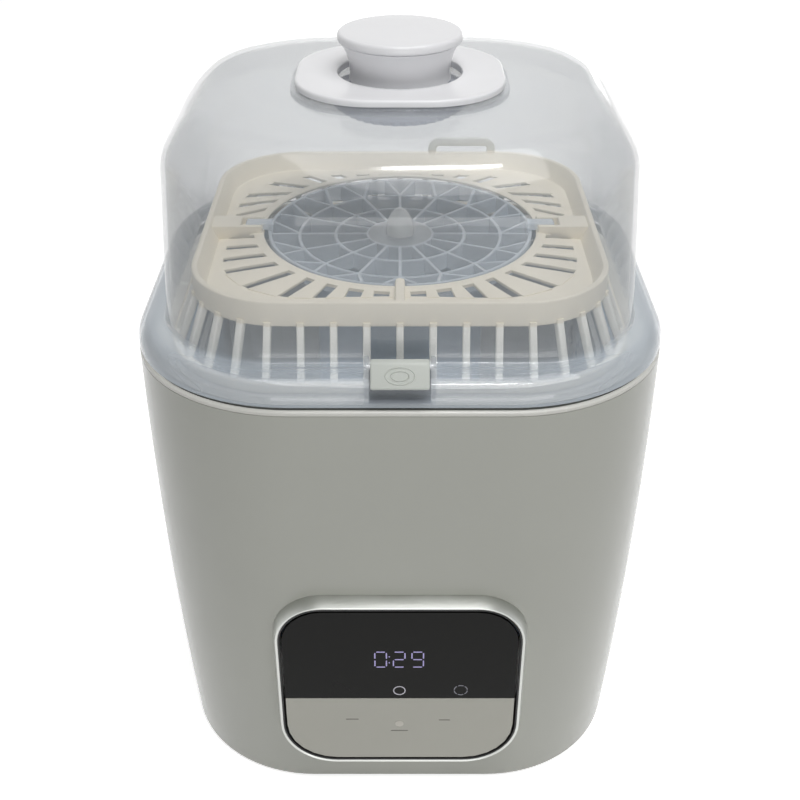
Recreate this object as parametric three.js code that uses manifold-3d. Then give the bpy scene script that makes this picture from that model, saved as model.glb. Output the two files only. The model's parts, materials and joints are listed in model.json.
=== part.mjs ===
// A counter-top steam sterilizer and dryer for baby bottles, in millimetres.
// X points to the right, Y to the rear and Z up. The origin is under the middle of the base, at the table.
import * as THREE from "three";
import { mergeVertices } from "three/addons/utils/BufferGeometryUtils.js";
import Module from "manifold-3d";

const wasm = await Module();
wasm.setup();

// Clearances and overruns shared by all pieces
const fit = 0.3;
const cutOverrun = 20;
const weldTolerance = 0.0001;

// Body: a rounded square that narrows towards the foot, with a slight outward bulge
const body = {
  topHalfWidth: 124.5,
  topHalfDepth: 120,
  topCorner: 76,
  taperX: 9,
  taperY: 6.5,
  cornerTaper: 6,
  footZ: 1.2,
  topZ: 234,
  bulge: 2.5,
  wall: 3,
  footRound: 0.8,
};
const bodyRingShares = [0, 0.25, 0.5, 0.75, 1];

// Light frame round the top edge of the base
const frame = {
  band: 2.4,
  chamfer: 1.2,
  ledgeWidth: 21.5,
  ledgeThickness: 2.6,
  spigotDepth: 9,
  spigotWall: 2.2,
};

// Chamber under the lid, which holds the water and the basket
const tub = {
  wall: 2,
  flangeWidth: 7,
  draft: 5,
  floorZ: 78,
  floorWall: 2.2,
  drainRadius: 50,
  ductRadius: 11,
};

// Steel dish that boils the water, and what sits under it
const heater = {
  flangeRadius: 56,
  dishRadius: 45.5,
  sheet: 1.2,
  dishDepth: 10,
  sealThickness: 1.5,
  sealInner: 46.6,
  tubeRadius: 4.5,
  coilRadius: 33,
  coilGapDegrees: 40,
  coilMiddleDegrees: 90,
  terminalDrop: 12,
  thermostatRadius: 9,
  thermostatHeight: 8,
  sensorRadius: 3.5,
  sensorHeight: 12,
  sensorPlace: 20,
};

// Bottom cover, feet and screws
const floor = {
  thickness: 3,
  footInsetX: 31.5,
  footInsetY: 35.5,
  footRadius: 9,
  footHeight: 2.4,
  screwInset: 11.5,
  screwY: 30,
  screwHeadRadius: 3.4,
  screwHeadHeight: 1.6,
  screwRadius: 1.5,
  screwLength: 14,
  bossRadius: 4.2,
  bossHeight: 26,
  slotCount: 9,
  slotPitch: 7,
  slotWidth: 3,
  slotLength: 40,
  slotY: -38,
};

// Control panel that stands proud of the front wall
const panel = {
  proud: 7.8,
  draft: 1.8,
  topZ: 131.6,
  bottomZ: 19.5,
  halfWidth: 62,
  topCorner: 24.8,
  bottomCorner: 29.8,
  rim: 2.9,
  shelf: 2,
  glassSink: 0.6,
  glassThickness: 2,
  splitZ: 68.5,
  splitGap: 0.3,
  depth: 6,
  boardGap: 6,
  boardThickness: 1.6,
  boardHalfWidth: 44,
  boardBottomZ: 34,
  boardTopZ: 116,
  digitHalfWidth: 14,
  digitHeight: 14,
  digitZ: 89,
  touchPadRadius: 5,
  touchPadX: 26,
  touchPadZ: 55,
};

// Lid: dome with near upright walls, broad shoulder and flared skirt
const lid = {
  wall: 2.2,
  skirtGap: 2.2,
  footInsetX: 15.6,
  footInsetY: 16.3,
  footCorner: 51,
  footZ: 251.9,
  wallTopZ: 316.5,
  wallTopCorner: 74,
  shoulderRun: 20.2,
  shoulderRise: 24,
  crown: 2,
  padHalfWidth: 50.6,
  padHalfDepth: 48.2,
  padCorner: 38,
  padRise: 0.8,
  seatRibInset: 5.5,
  seatRibWall: 2.2,
  boreRadius: 4,
};
// Skirt outline from its lower edge to the foot of the dome: share of the way in, share of the way up
const skirtShares = [
  [0, 0],
  [0.03, 0.24],
  [0.1, 0.45],
  [0.24, 0.61],
  [0.43, 0.73],
  [0.84, 0.84],
];
// Shoulder outline from the wall to the crown: share of the run, share of the rise
const shoulderShares = [
  [0.08, 0.22],
  [0.3, 0.5],
  [0.56, 0.76],
  [0.8, 0.93],
  [1, 1],
];
const wallShares = [[0.5, 0.5], [1, 1]];
const crownShares = [0.7, 0.35];

// White knob and its plate
const knob = {
  plateHalfWidth: 48.4,
  plateHalfDepth: 46,
  plateCorner: 36,
  plateThickness: 3.2,
  plateRound: 1,
  openingRadius: 29.1,
  neckBaseRadius: 23.6,
  neckWaistRadius: 23.4,
  neckTopRadius: 27.6,
  neckHeight: 17.1,
  capRadius: 28.9,
  capHeight: 4.8,
  capRound: 2.2,
  seam: 0.4,
  bossRadius: 26,
  bossHeight: 8,
  bossStep: 3,
  bossStepHeight: 4,
  screwHeadRadius: 5,
  screwHeadHeight: 2.6,
  screwRadius: 2.4,
};

// Neck outline as shares: waist height, flare height, flare
const neckShares = [0.25, 0.65, 0.45];

// Front latch and its pin
const latch = {
  halfWidth: 12.7,
  sideGap: 0.6,
  pivotInset: 8.4,
  pivotZ: 251.5,
  topRadius: 3.1,
  faceDegrees: 36,
  reachInset: 0.3,
  lowerDrop: 6.8,
  thickness: 3,
  pinRadius: 1.1,
  pinClearance: 0.3,
  pinOverhang: 1.6,
  cheek: 2.2,
  cheekRise: 2.3,
  backWall: 1.6,
  backGap: 0.7,
  pocketFloor: 2.1,
};
// Latch outline as shares of its reach and drop: chin and back
const latchShares = [0.87, 0.2, 0.22];

// Cream top tray
const tray = {
  lidGapX: 12.9,
  lidGapY: 9.7,
  corner: 43.4,
  topZ: 273.5,
  bandHeight: 11.8,
  rim: 2.6,
  footInset: 8,
  floorEdgeZ: 264.5,
  openingZ: 269,
  openingMargin: 26.3,
  floorThickness: 1.6,
  slotLead: 4.3,
  slotMarginX: 11.2,
  slotMarginY: 18.6,
  slotCorner: 44,
  slotWidth: 3.8,
  slotFirstDegrees: 9.2,
  slotStepDegrees: 9.3,
  slotSkewDegrees: 7.2,
  crossbarY: -1.5,
  crossbarHalfWidth: 7.1,
  crossbarTopZ: 272,
  earSeatHalfWidth: 4.4,
  earSeatLength: 11,
  earSeatZ: 268,
  pegHalfWidth: 2.3,
  pegReach: 4,
  pegTopZ: 271.4,
  ribPitch: 14.5,
  frontRibs: 5,
  cornerRibs: 4,
  sideRibs: 4,
  ribWidth: 3.3,
  ribDepth: 4,
  ribProud: 0.9,
  ribLap: 1.7,
  ribFlare: 11.5,
  ringHeight: 4.6,
  ringWidth: 4,
  loopX: 34.5,
  loopHalfWidth: 18,
  loopHeight: 7.6,
  loopBar: 3.2,
  loopThickness: 3,
};

// Slots of one quarter from the crossbar to the peg: share of the skew, share of the width
const slotShares = [
  [0.57, 1],
  [0.74, 1],
  [0.86, 1],
  [1, 1],
  [0.6, 1],
  [0.17, 1.03],
  [0.08, 1.4],
  [0, 1.85],
  [0, 1.85],
];

// Clear spider rack in the tray's opening
const rack = {
  openingGap: 2.1,
  ringWidth: 2,
  hubRadius: 17,
  hubThickness: 2,
  topZ: 264.8,
  finHeight: 8,
  finWidth: 1.8,
  spokes: 16,
  innerRingShare: 0.503,
  outerRingShare: 0.7774,
  notchGap: 0.8,
  forkDegrees: 7,
  coneRadius: 5.6,
  coneHeight: 13.4,
  earLength: 9,
  earThickness: 3.6,
};

// Cone outline from its foot to its tip: share of the radius, share of the height
const coneShares = [
  [1, 0],
  [0.94, 0.4],
  [0.8, 0.75],
  [0.62, 0.92],
  [0.32, 1],
  [0, 1],
];

// Cream bottle basket in the tub
const basket = {
  gap: 3,
  legHeight: 4,
  legRadius: 5,
  legPlace: 45,
  floorThickness: 3,
  wall: 2.4,
  topZ: 224,
  topBand: 10,
  bottomBand: 14,
  postWidth: 44,
  gridPitch: 30,
  gridBar: 5,
  gridHoleMargin: 8,
};

// Blower with its shaft along Y, between the filter and the duct
const fan = {
  x: -17,
  y: 72,
  z: 40,
  housingRadius: 27,
  housingDepth: 24,
  housingWall: 1.8,
  inletRadius: 15,
  outletHalfWidth: 10,
  impellerRadius: 21,
  impellerDepth: 15,
  hubRadius: 6,
  blades: 12,
  bladeLength: 7,
  bladeWidth: 1,
  shaftRadius: 1.5,
  motorRadius: 14,
  motorLength: 22,
  ductWall: 1.6,
};

// Air heater in the duct's way
const airHeater = { depth: 14, height: 8 };

// Power supply on the bottom cover
const supply = {
  x: 49,
  y: 22,
  boardWidth: 92,
  boardDepth: 70,
  boardThickness: 1.6,
  standoffRadius: 3.5,
  standoffHeight: 8,
  standoffMargin: 6,
  transformerWidth: 26,
  transformerDepth: 22,
  transformerHeight: 20,
  relayWidth: 20,
  relayDepth: 12,
  relayHeight: 15,
  capacitorRadius: 7,
  capacitorHeight: 18,
};

// Air filter and its pull-out cover at the rear
const filter = {
  z: 46,
  coverHalfWidth: 30,
  coverHalfHeight: 32,
  coverCorner: 9,
  coverThickness: 3,
  coverSkirt: 9,
  coverWall: 2,
  coverProud: 0.8,
  slotCount: 6,
  slotPitch: 7,
  slotWidth: 2.6,
  slotHalfLength: 21,
  cartridgeHalfWidth: 22,
  cartridgeHalfHeight: 24,
  cartridgeDepth: 10,
  seatWall: 2,
  seatDepth: 15,
};

// Mains inlet at the rear
const inlet = {
  x: 36,
  z: 26,
  halfWidth: 12,
  halfHeight: 9,
  corner: 4,
  depth: 20,
  recess: 12,
  wall: 2.4,
  flange: 3,
  pinRadius: 1.1,
  pinSpread: 4.3,
};

// Facet counts
const facets = { corner: 6, round: 28, small: 12, tiny: 8, floorRing: 40 };

// Solid helpers

function solid(geometry) {
  const bare = geometry.clone();
  bare.deleteAttribute("normal");
  bare.deleteAttribute("uv");
  const merged = mergeVertices(bare, weldTolerance);
  const triVerts = new Uint32Array(merged.index.array);
  const vertProperties = merged.attributes.position.array;
  const made = new wasm.Manifold(new wasm.Mesh({ numProp: 3, vertProperties, triVerts }));
  if (made.volume() > 0) return made;
  for (let i = 0; i < triVerts.length; i += 3) {
    [triVerts[i + 1], triVerts[i + 2]] = [triVerts[i + 2], triVerts[i + 1]];
  }
  return new wasm.Manifold(new wasm.Mesh({ numProp: 3, vertProperties, triVerts }));
}

function join(...solids) {
  return solids.reduce((whole, next) => whole.add(next));
}

function cut(whole, ...tools) {
  return tools.reduce((left, tool) => left.subtract(tool), whole);
}

// A ring of points round a rounded rectangle at its height, the same count for every ring of one piece.
function ringPoints({ halfWidth, halfDepth, corner, z }) {
  const points = [];
  const quarters = [[1, 1], [-1, 1], [-1, -1], [1, -1]];
  quarters.forEach(([sideX, sideY], quarter) => {
    for (let step = 0; step <= facets.corner; step++) {
      const angle = (Math.PI / 2) * (quarter + step / facets.corner);
      points.push([
        sideX * (halfWidth - corner) + corner * Math.cos(angle),
        sideY * (halfDepth - corner) + corner * Math.sin(angle),
        z,
      ]);
    }
  });
  return points;
}

// The same outline met by rays from the centre, so that it pairs with a circle's points.
function polarPoints({ halfWidth, halfDepth, corner, z }) {
  const points = [];
  for (let step = 0; step < facets.floorRing; step++) {
    const angle = (2 * Math.PI * step) / facets.floorRing;
    const reach = outlineReach({ halfWidth, halfDepth, corner }, angle);
    points.push([reach * Math.cos(angle), reach * Math.sin(angle), z]);
  }
  return points;
}

function outlineReach({ halfWidth, halfDepth, corner }, angle) {
  const across = Math.abs(Math.cos(angle));
  const along = Math.abs(Math.sin(angle));
  const toSide = across > 0 ? halfWidth / across : Infinity;
  const toEnd = along > 0 ? halfDepth / along : Infinity;
  if (toSide * along <= halfDepth - corner) return toSide;
  if (toEnd * across <= halfWidth - corner) return toEnd;
  const middle = (halfWidth - corner) * across + (halfDepth - corner) * along;
  const spread = (halfWidth - corner) ** 2 + (halfDepth - corner) ** 2 - corner ** 2;
  return middle + Math.sqrt(Math.max(middle ** 2 - spread, 0));
}

// Skins rings into a solid: capped at both ends, or closed on itself as a tube's wall.
function loft(rings, closed = false) {
  const count = rings[0].length;
  const positions = rings.flat(2);
  const faces = [];
  const last = closed ? rings.length : rings.length - 1;
  for (let level = 0; level < last; level++) {
    const low = level * count;
    const high = ((level + 1) % rings.length) * count;
    for (let i = 0; i < count; i++) {
      const next = (i + 1) % count;
      faces.push(low + i, low + next, high + next, low + i, high + next, high + i);
    }
  }
  if (!closed) {
    [0, rings.length - 1].forEach((level) => {
      const ring = rings[level];
      const centre = positions.length / 3;
      const middle = ring.reduce((sum, p) => [sum[0] + p[0], sum[1] + p[1], sum[2] + p[2]], [0, 0, 0]);
      positions.push(...middle.map((value) => value / count));
      for (let i = 0; i < count; i++) {
        const a = level * count + i;
        const b = level * count + ((i + 1) % count);
        faces.push(centre, ...(level === 0 ? [b, a] : [a, b]));
      }
    });
  }
  const geometry = new THREE.BufferGeometry();
  geometry.setAttribute("position", new THREE.Float32BufferAttribute(positions, 3));
  geometry.setIndex(faces);
  return solid(geometry);
}

function sectionLoft(sections, closed = false) {
  return loft(sections.map(ringPoints), closed);
}

function box(from, to) {
  const size = to.map((value, axis) => value - from[axis]);
  const geometry = new THREE.BoxGeometry(...size);
  geometry.translate(...from.map((value, axis) => value + size[axis] / 2));
  return solid(geometry);
}

function turned(profile, steps = facets.round) {
  const points = profile.map(([radius, height]) => new THREE.Vector2(radius, height));
  const geometry = new THREE.LatheGeometry(points, steps);
  geometry.rotateX(Math.PI / 2);
  return solid(geometry);
}

function rod(radius, from, length, axis = "z", steps = facets.small) {
  const geometry = new THREE.CylinderGeometry(radius, radius, length, steps);
  geometry.translate(0, length / 2, 0);
  if (axis === "z") geometry.rotateX(Math.PI / 2);
  if (axis === "x") geometry.rotateZ(-Math.PI / 2);
  geometry.translate(...from);
  return solid(geometry);
}

// Extrudes an outline of [x, y] points along +Z.
function prism(outline, height) {
  const shape = new THREE.Shape(outline.map(([x, y]) => new THREE.Vector2(x, y)));
  return solid(new THREE.ExtrudeGeometry(shape, { depth: height, bevelEnabled: false }));
}

// Stands an outline drawn as [x, height] upright, from y to y + depth.
function uprightPrism(outline, y, depth) {
  return prism(outline, depth).rotate([90, 0, 0]).translate([0, y + depth, 0]);
}

function arc(centreX, centreY, radius, fromDegrees, toDegrees, steps = facets.corner) {
  const points = [];
  for (let step = 0; step <= steps; step++) {
    const angle = THREE.MathUtils.degToRad(fromDegrees + ((toDegrees - fromDegrees) * step) / steps);
    points.push([centreX + radius * Math.cos(angle), centreY + radius * Math.sin(angle)]);
  }
  return points;
}

function roundedOutline(halfWidth, halfHeight, corner) {
  const x = halfWidth - corner;
  const y = halfHeight - corner;
  return [
    ...arc(x, y, corner, 0, 90),
    ...arc(-x, y, corner, 90, 180),
    ...arc(-x, -y, corner, 180, 270),
    ...arc(x, -y, corner, 270, 360),
  ];
}

function mix(from, to, share) {
  return from + (to - from) * share;
}

const model = new THREE.Group();

function part(name, made, { color, roughness = 0.5, metalness = 0, opacity = 1 }) {
  const { numProp, vertProperties, triVerts } = made.getMesh();
  const geometry = new THREE.BufferGeometry();
  geometry.setAttribute("position", new THREE.BufferAttribute(vertProperties, numProp));
  geometry.setIndex(new THREE.BufferAttribute(triVerts, 1));
  const transparent = opacity < 1;
  const material = new THREE.MeshStandardMaterial({ color, roughness, metalness, opacity, transparent });
  const mesh = new THREE.Mesh(geometry, material);
  mesh.name = name;
  model.add(mesh);
}

// Finishes
const finish = {
  casing: { color: 0x9a9c94, roughness: 0.25 },
  light: { color: 0xd8d6cb, roughness: 0.35 },
  cream: { color: 0xdedccf, roughness: 0.45 },
  tinted: { color: 0x8b959c, roughness: 0.3 },
  clear: { color: 0xb4bec4, roughness: 0.12, opacity: 0.6 },
  frosted: { color: 0xc8cdce, roughness: 0.2, opacity: 0.5 },
  white: { color: 0xf1f1f0, roughness: 0.25 },
  silver: { color: 0xb4b6b2, roughness: 0.28, metalness: 0.9 },
  glass: { color: 0x1f1f1e, roughness: 0.06 },
  greyGlass: { color: 0x9fa09a, roughness: 0.1 },
  latchGrey: { color: 0xb3b6b0, roughness: 0.45 },
  steel: { color: 0xc7c9cb, roughness: 0.2, metalness: 1 },
  rubber: { color: 0x2c2d2e, roughness: 0.8 },
  silicone: { color: 0xd9d7d0, roughness: 0.6 },
  board: { color: 0x1f5c3a, roughness: 0.5 },
  dark: { color: 0x26282a, roughness: 0.5 },
  brass: { color: 0xb9a46a, roughness: 0.35, metalness: 1 },
  filterWhite: { color: 0xe9eae6, roughness: 0.9 },
};

// Body sections
const bodyFoot = {
  halfWidth: body.topHalfWidth - body.taperX,
  halfDepth: body.topHalfDepth - body.taperY,
  corner: body.topCorner - body.cornerTaper,
};

function bodySection(z, inward = 0) {
  const share = (z - body.footZ) / (body.topZ - body.footZ);
  const bulge = body.bulge * 4 * share * (1 - share);
  return {
    halfWidth: mix(bodyFoot.halfWidth, body.topHalfWidth, share) + bulge - inward,
    halfDepth: mix(bodyFoot.halfDepth, body.topHalfDepth, share) + bulge - inward,
    corner: mix(bodyFoot.corner, body.topCorner, share) + bulge - inward,
    z,
  };
}

const shellTopZ = body.topZ - frame.band;
const bodyHeights = bodyRingShares.map((share) => mix(body.footZ, shellTopZ, share));

function bodyBlock(inward) {
  return sectionLoft(bodyHeights.map((z) => bodySection(z, inward)));
}

function shrink(section, inward, z = section.z) {
  return {
    halfWidth: section.halfWidth - inward,
    halfDepth: section.halfDepth - inward,
    corner: section.corner - inward,
    z,
  };
}

// The control panel's outline, drawn as [x, height] and drawn in by a margin.
function panelOutline(margin) {
  const top = panel.topZ - margin;
  const bottom = panel.bottomZ + margin;
  const side = panel.halfWidth - margin;
  const topCorner = panel.topCorner - margin;
  const bottomCorner = panel.bottomCorner - margin;
  return [
    ...arc(side - topCorner, top - topCorner, topCorner, 0, 90),
    ...arc(topCorner - side, top - topCorner, topCorner, 90, 180),
    ...arc(bottomCorner - side, bottom + bottomCorner, bottomCorner, 180, 270),
    ...arc(side - bottomCorner, bottom + bottomCorner, bottomCorner, 270, 360),
  ];
}

// The panel's face is one plane that leans with the front wall.
const panelFaceTop = bodySection(panel.topZ).halfDepth;
const panelFaceBottom = bodySection(panel.bottomZ).halfDepth;

// How far the front wall stands out at a height, on the panel's plane.
function panelFace(z) {
  return mix(panelFaceBottom, panelFaceTop, (z - panel.bottomZ) / (panel.topZ - panel.bottomZ));
}

// The panel's outline as a solid from so far proud of the wall to so far behind it.
function panelSlab(proud, behind, margin, draft = 0) {
  const ring = (outward, inset) => panelOutline(inset).map(([x, z]) => [x, -(panelFace(z) + outward), z]);
  if (draft === 0) return loft([ring(proud, margin), ring(-behind, margin)]);
  return loft([ring(proud, margin + draft), ring(0, margin), ring(-behind, margin)]);
}

// Base shell: open tube with a window for the panel, a filter opening and an inlet opening
function filterOutline(grow) {
  const { coverHalfWidth, coverHalfHeight, coverCorner } = filter;
  return roundedOutline(coverHalfWidth + grow, coverHalfHeight + grow, coverCorner + grow)
    .map(([x, z]) => [x + fan.x, z + filter.z]);
}

function inletOutline(grow) {
  return roundedOutline(inlet.halfWidth + grow, inlet.halfHeight + grow, inlet.corner + grow)
    .map(([x, z]) => [x + inlet.x, z + inlet.z]);
}

const screwPlaces = [[1, 1], [-1, 1], [-1, -1], [1, -1]].map(([sideX, sideY]) => [
  sideX * (bodyFoot.halfWidth - floor.screwInset),
  sideY * floor.screwY,
]);
const bossZ = body.footZ + floor.thickness + fit;

function baseShell() {
  const outer = [
    bodySection(body.footZ, body.footRound),
    ...bodyHeights.map((z, i) => (i === 0 ? bodySection(z + body.footRound) : bodySection(z))),
  ];
  const inner = bodyHeights.map((z) => bodySection(z, body.wall)).reverse();
  const shell = sectionLoft([...outer, ...inner], true);
  const block = bodyBlock(body.wall / 2);
  const bosses = screwPlaces.map(([x, y]) => {
    const side = Math.sign(x);
    const web = box(
      [Math.min(x, side * body.topHalfWidth), y - floor.screwRadius, bossZ],
      [Math.max(x, side * body.topHalfWidth), y + floor.screwRadius, bossZ + floor.bossHeight],
    );
    return rod(floor.bossRadius, [x, y, bossZ], floor.bossHeight).add(web).intersect(block);
  });
  const holes = screwPlaces.map(([x, y]) =>
    rod(floor.screwRadius + fit, [x, y, bossZ - fit], floor.screwLength + fit, "z", facets.tiny),
  );
  const rearCut = (outline) => uprightPrism(outline, body.topHalfDepth / 2, body.topHalfDepth);
  return cut(
    join(shell, ...bosses),
    ...holes,
    panelSlab(panel.proud, cutOverrun, -fit),
    rearCut(filterOutline(fit)),
    rearCut(inletOutline(fit)),
  );
}
part("base_shell", baseShell(), finish.casing);

// Top frame: ring with a ledge for the tub and a spigot inside the shell
function topFrame() {
  const low = shellTopZ + fit;
  const edge = bodySection(body.topZ);
  const spigot = body.wall + fit;
  return sectionLoft(
    [
      bodySection(low),
      bodySection(body.topZ - frame.chamfer),
      shrink(edge, frame.chamfer),
      shrink(edge, frame.ledgeWidth),
      shrink(edge, frame.ledgeWidth, body.topZ - frame.ledgeThickness),
      shrink(edge, spigot + frame.spigotWall, body.topZ - frame.ledgeThickness),
      shrink(edge, spigot + frame.spigotWall, low - frame.spigotDepth),
      shrink(bodySection(low - frame.spigotDepth), spigot),
      shrink(bodySection(low), spigot),
    ],
    true,
  );
}
part("top_frame", topFrame(), finish.light);

// Inner tub: hangs under the frame's ledge by its flange, with holes for the dish and the duct
const tubTop = shrink(bodySection(body.topZ), frame.ledgeWidth, body.topZ - frame.ledgeThickness - fit);

function tubSection(z, inward) {
  const share = (tubTop.z - z) / (tubTop.z - tub.floorZ);
  return shrink(tubTop, inward + tub.draft * share, z);
}

function innerTub() {
  const flange = shrink(tubTop, -tub.flangeWidth);
  const shell = sectionLoft([
    tubSection(tub.floorZ, tub.wall),
    tubSection(tub.floorZ + tub.wall, 0),
    tubSection(tubTop.z - tub.wall, 0),
    shrink(flange, 0, tubTop.z - tub.wall),
    flange,
  ]);
  const hollow = sectionLoft([
    tubSection(tub.floorZ + tub.floorWall, tub.wall + tub.wall),
    tubSection(tub.floorZ + tub.floorWall + tub.wall, tub.wall),
    tubSection(tubTop.z, tub.wall),
    shrink(tubTop, tub.wall, tubTop.z + cutOverrun),
  ]);
  return cut(
    shell,
    hollow,
    rod(tub.drainRadius, [0, 0, tub.floorZ - cutOverrun], cutOverrun + cutOverrun, "z", facets.round),
    rod(tub.ductRadius, [fan.x, fan.y, tub.floorZ - cutOverrun], cutOverrun + cutOverrun),
  );
}
part("inner_tub", innerTub(), finish.tinted);

// Heating dish, its seal, heater tube, thermostat and sensor
const tubFloorTop = tub.floorZ + tub.floorWall;
const sealZ = tubFloorTop + fit;
const plateZ = sealZ + heater.sealThickness + fit;
const dishBottomZ = plateZ + heater.sheet - heater.dishDepth;

part(
  "plate_seal",
  turned([
    [heater.sealInner, sealZ],
    [heater.flangeRadius, sealZ],
    [heater.flangeRadius, sealZ + heater.sealThickness],
    [heater.sealInner, sealZ + heater.sealThickness],
    [heater.sealInner, sealZ],
  ]),
  finish.silicone,
);

part(
  "heating_plate",
  turned([
    [0, dishBottomZ],
    [heater.dishRadius - heater.sheet, dishBottomZ],
    [heater.dishRadius, dishBottomZ + heater.sheet],
    [heater.dishRadius, plateZ],
    [heater.flangeRadius, plateZ],
    [heater.flangeRadius, plateZ + heater.sheet],
    [heater.dishRadius - heater.sheet, plateZ + heater.sheet],
    [heater.dishRadius - heater.sheet, dishBottomZ + heater.sheet],
    [0, dishBottomZ + heater.sheet],
  ]),
  finish.steel,
);

function heatingElement() {
  const z = dishBottomZ - fit - heater.tubeRadius;
  const half = 180 - heater.coilGapDegrees / 2;
  const middle = heater.coilMiddleDegrees;
  const flat = arc(0, 0, heater.coilRadius, middle - half, middle + half, facets.small);
  const route = flat.map(([x, y]) => new THREE.Vector3(x, y, z));
  const section = new THREE.Shape(arc(0, 0, heater.tubeRadius, 0, 360, facets.tiny).slice(0, -1).map(
    ([x, y]) => new THREE.Vector2(x, y),
  ));
  const path = new THREE.CatmullRomCurve3(route);
  const settings = { steps: facets.round, extrudePath: path, bevelEnabled: false };
  const ring = solid(new THREE.ExtrudeGeometry(section, settings));
  const ends = [flat[0], flat[flat.length - 1]].map(([x, y]) =>
    rod(heater.tubeRadius, [x, y, z - heater.terminalDrop], heater.terminalDrop, "z", facets.tiny),
  );
  return join(ring, ...ends);
}
part("heating_element", heatingElement(), finish.steel);

const underDishZ = dishBottomZ - fit;
part(
  "thermostat",
  rod(heater.thermostatRadius, [0, 0, underDishZ - heater.thermostatHeight], heater.thermostatHeight),
  finish.dark,
);
part(
  "temperature_sensor",
  rod(heater.sensorRadius, [heater.sensorPlace, 0, underDishZ - heater.sensorHeight], heater.sensorHeight),
  finish.brass,
);

// Bottom cover with air slots, standoffs and screw holes
const coverTopZ = body.footZ + floor.thickness;
const footPlaces = [[1, 1], [-1, 1], [-1, -1], [1, -1]].map(([sideX, sideY]) => [
  sideX * (bodyFoot.halfWidth - floor.footInsetX),
  sideY * (bodyFoot.halfDepth - floor.footInsetY),
]);
const standoffPlaces = [[1, 1], [-1, 1], [-1, -1], [1, -1]].map(([sideX, sideY]) => [
  supply.x + sideX * (supply.boardWidth / 2 - supply.standoffMargin),
  supply.y + sideY * (supply.boardDepth / 2 - supply.standoffMargin),
]);

function baseFloor() {
  const edge = (z) => bodySection(z, body.wall + fit);
  const plate = sectionLoft([edge(body.footZ), edge(coverTopZ)]);
  const standoffs = standoffPlaces.map(([x, y]) =>
    rod(supply.standoffRadius, [x, y, coverTopZ - fit], supply.standoffHeight + fit, "z", facets.tiny),
  );
  const belowZ = body.footZ - cutOverrun;
  const cuts = screwPlaces.flatMap(([x, y]) => [
    rod(floor.screwRadius + fit, [x, y, belowZ], cutOverrun + cutOverrun, "z", facets.tiny),
    rod(floor.screwHeadRadius + fit, [x, y, belowZ], cutOverrun + floor.screwHeadHeight + fit),
  ]);
  footPlaces.forEach(([x, y]) => {
    const recessZ = floor.footHeight + fit;
    cuts.push(rod(floor.footRadius + fit, [x, y, belowZ], recessZ - belowZ));
  });
  for (let i = 0; i < floor.slotCount; i++) {
    const x = (i - (floor.slotCount - 1) / 2) * floor.slotPitch;
    const half = floor.slotLength / 2;
    cuts.push(box(
      [x - floor.slotWidth / 2, floor.slotY - half, -cutOverrun / 2],
      [x + floor.slotWidth / 2, floor.slotY + half, cutOverrun / 2],
    ));
  }
  return cut(join(plate, ...standoffs), ...cuts);
}
part("base_floor", baseFloor(), finish.casing);

footPlaces.forEach(([x, y], i) => {
  part("foot_" + (i + 1), rod(floor.footRadius, [x, y, 0], floor.footHeight), finish.rubber);
});

screwPlaces.forEach(([x, y], i) => {
  const headZ = body.footZ + fit;
  const head = rod(floor.screwHeadRadius, [x, y, headZ - fit], floor.screwHeadHeight);
  const shank = rod(floor.screwRadius, [x, y, headZ], floor.screwLength, "z", facets.tiny);
  part("cover_screw_" + (i + 1), head.add(shank), finish.steel);
});

// Control panel: silver bezel, dark window over the grey touch glass, board and what it carries
const glassMargin = panel.draft + panel.rim;

function panelBezel() {
  const block = panelSlab(panel.proud, panel.depth, 0, panel.draft);
  const beyond = panel.proud + cutOverrun;
  const pocket = panelSlab(beyond, panel.glassSink + panel.glassThickness - panel.proud, glassMargin);
  const opening = panelSlab(beyond, panel.depth + cutOverrun, glassMargin + panel.shelf);
  return cut(block, pocket, opening);
}
part("panel_bezel", panelBezel(), finish.silver);

function panelGlass(lowZ, highZ) {
  const outward = panel.proud - panel.glassSink;
  const sheet = panelSlab(outward, panel.glassThickness - outward - fit, glassMargin + fit);
  const reach = panelFaceTop + cutOverrun;
  return sheet.intersect(box([-reach, -reach, lowZ], [reach, 0, highZ]));
}
part("display_window", panelGlass(panel.splitZ + panel.splitGap / 2, panel.topZ), finish.glass);
part("touch_panel", panelGlass(panel.bottomZ, panel.splitZ - panel.splitGap / 2), finish.greyGlass);

const glassBackY = (z) => -(panelFace(z) + panel.proud - panel.glassSink - panel.glassThickness);
const boardFrontY = glassBackY(panel.boardBottomZ) + panel.boardGap;
const boardBackY = boardFrontY + panel.boardThickness;
part(
  "display_board",
  box(
    [-panel.boardHalfWidth, boardFrontY, panel.boardBottomZ],
    [panel.boardHalfWidth, boardBackY, panel.boardTopZ],
  ),
  finish.board,
);
const digitFrontY = glassBackY(panel.digitZ - panel.digitHeight / 2) + fit;
part(
  "digit_module",
  box(
    [-panel.digitHalfWidth, digitFrontY, panel.digitZ - panel.digitHeight / 2],
    [panel.digitHalfWidth, boardFrontY - fit, panel.digitZ + panel.digitHeight / 2],
  ),
  finish.dark,
);
[["left", -1], ["middle", 0], ["right", 1]].forEach(([side, sign]) => {
  const frontY = glassBackY(panel.touchPadZ - panel.touchPadRadius) + fit;
  const length = boardFrontY - fit - frontY;
  const place = [sign * panel.touchPadX, frontY, panel.touchPadZ];
  part("touch_pad_" + side, rod(panel.touchPadRadius, place, length, "y", facets.tiny), finish.dark);
});

// Power supply
const boardZ = coverTopZ + supply.standoffHeight + fit;
const partsZ = boardZ + supply.boardThickness + fit;

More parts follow.
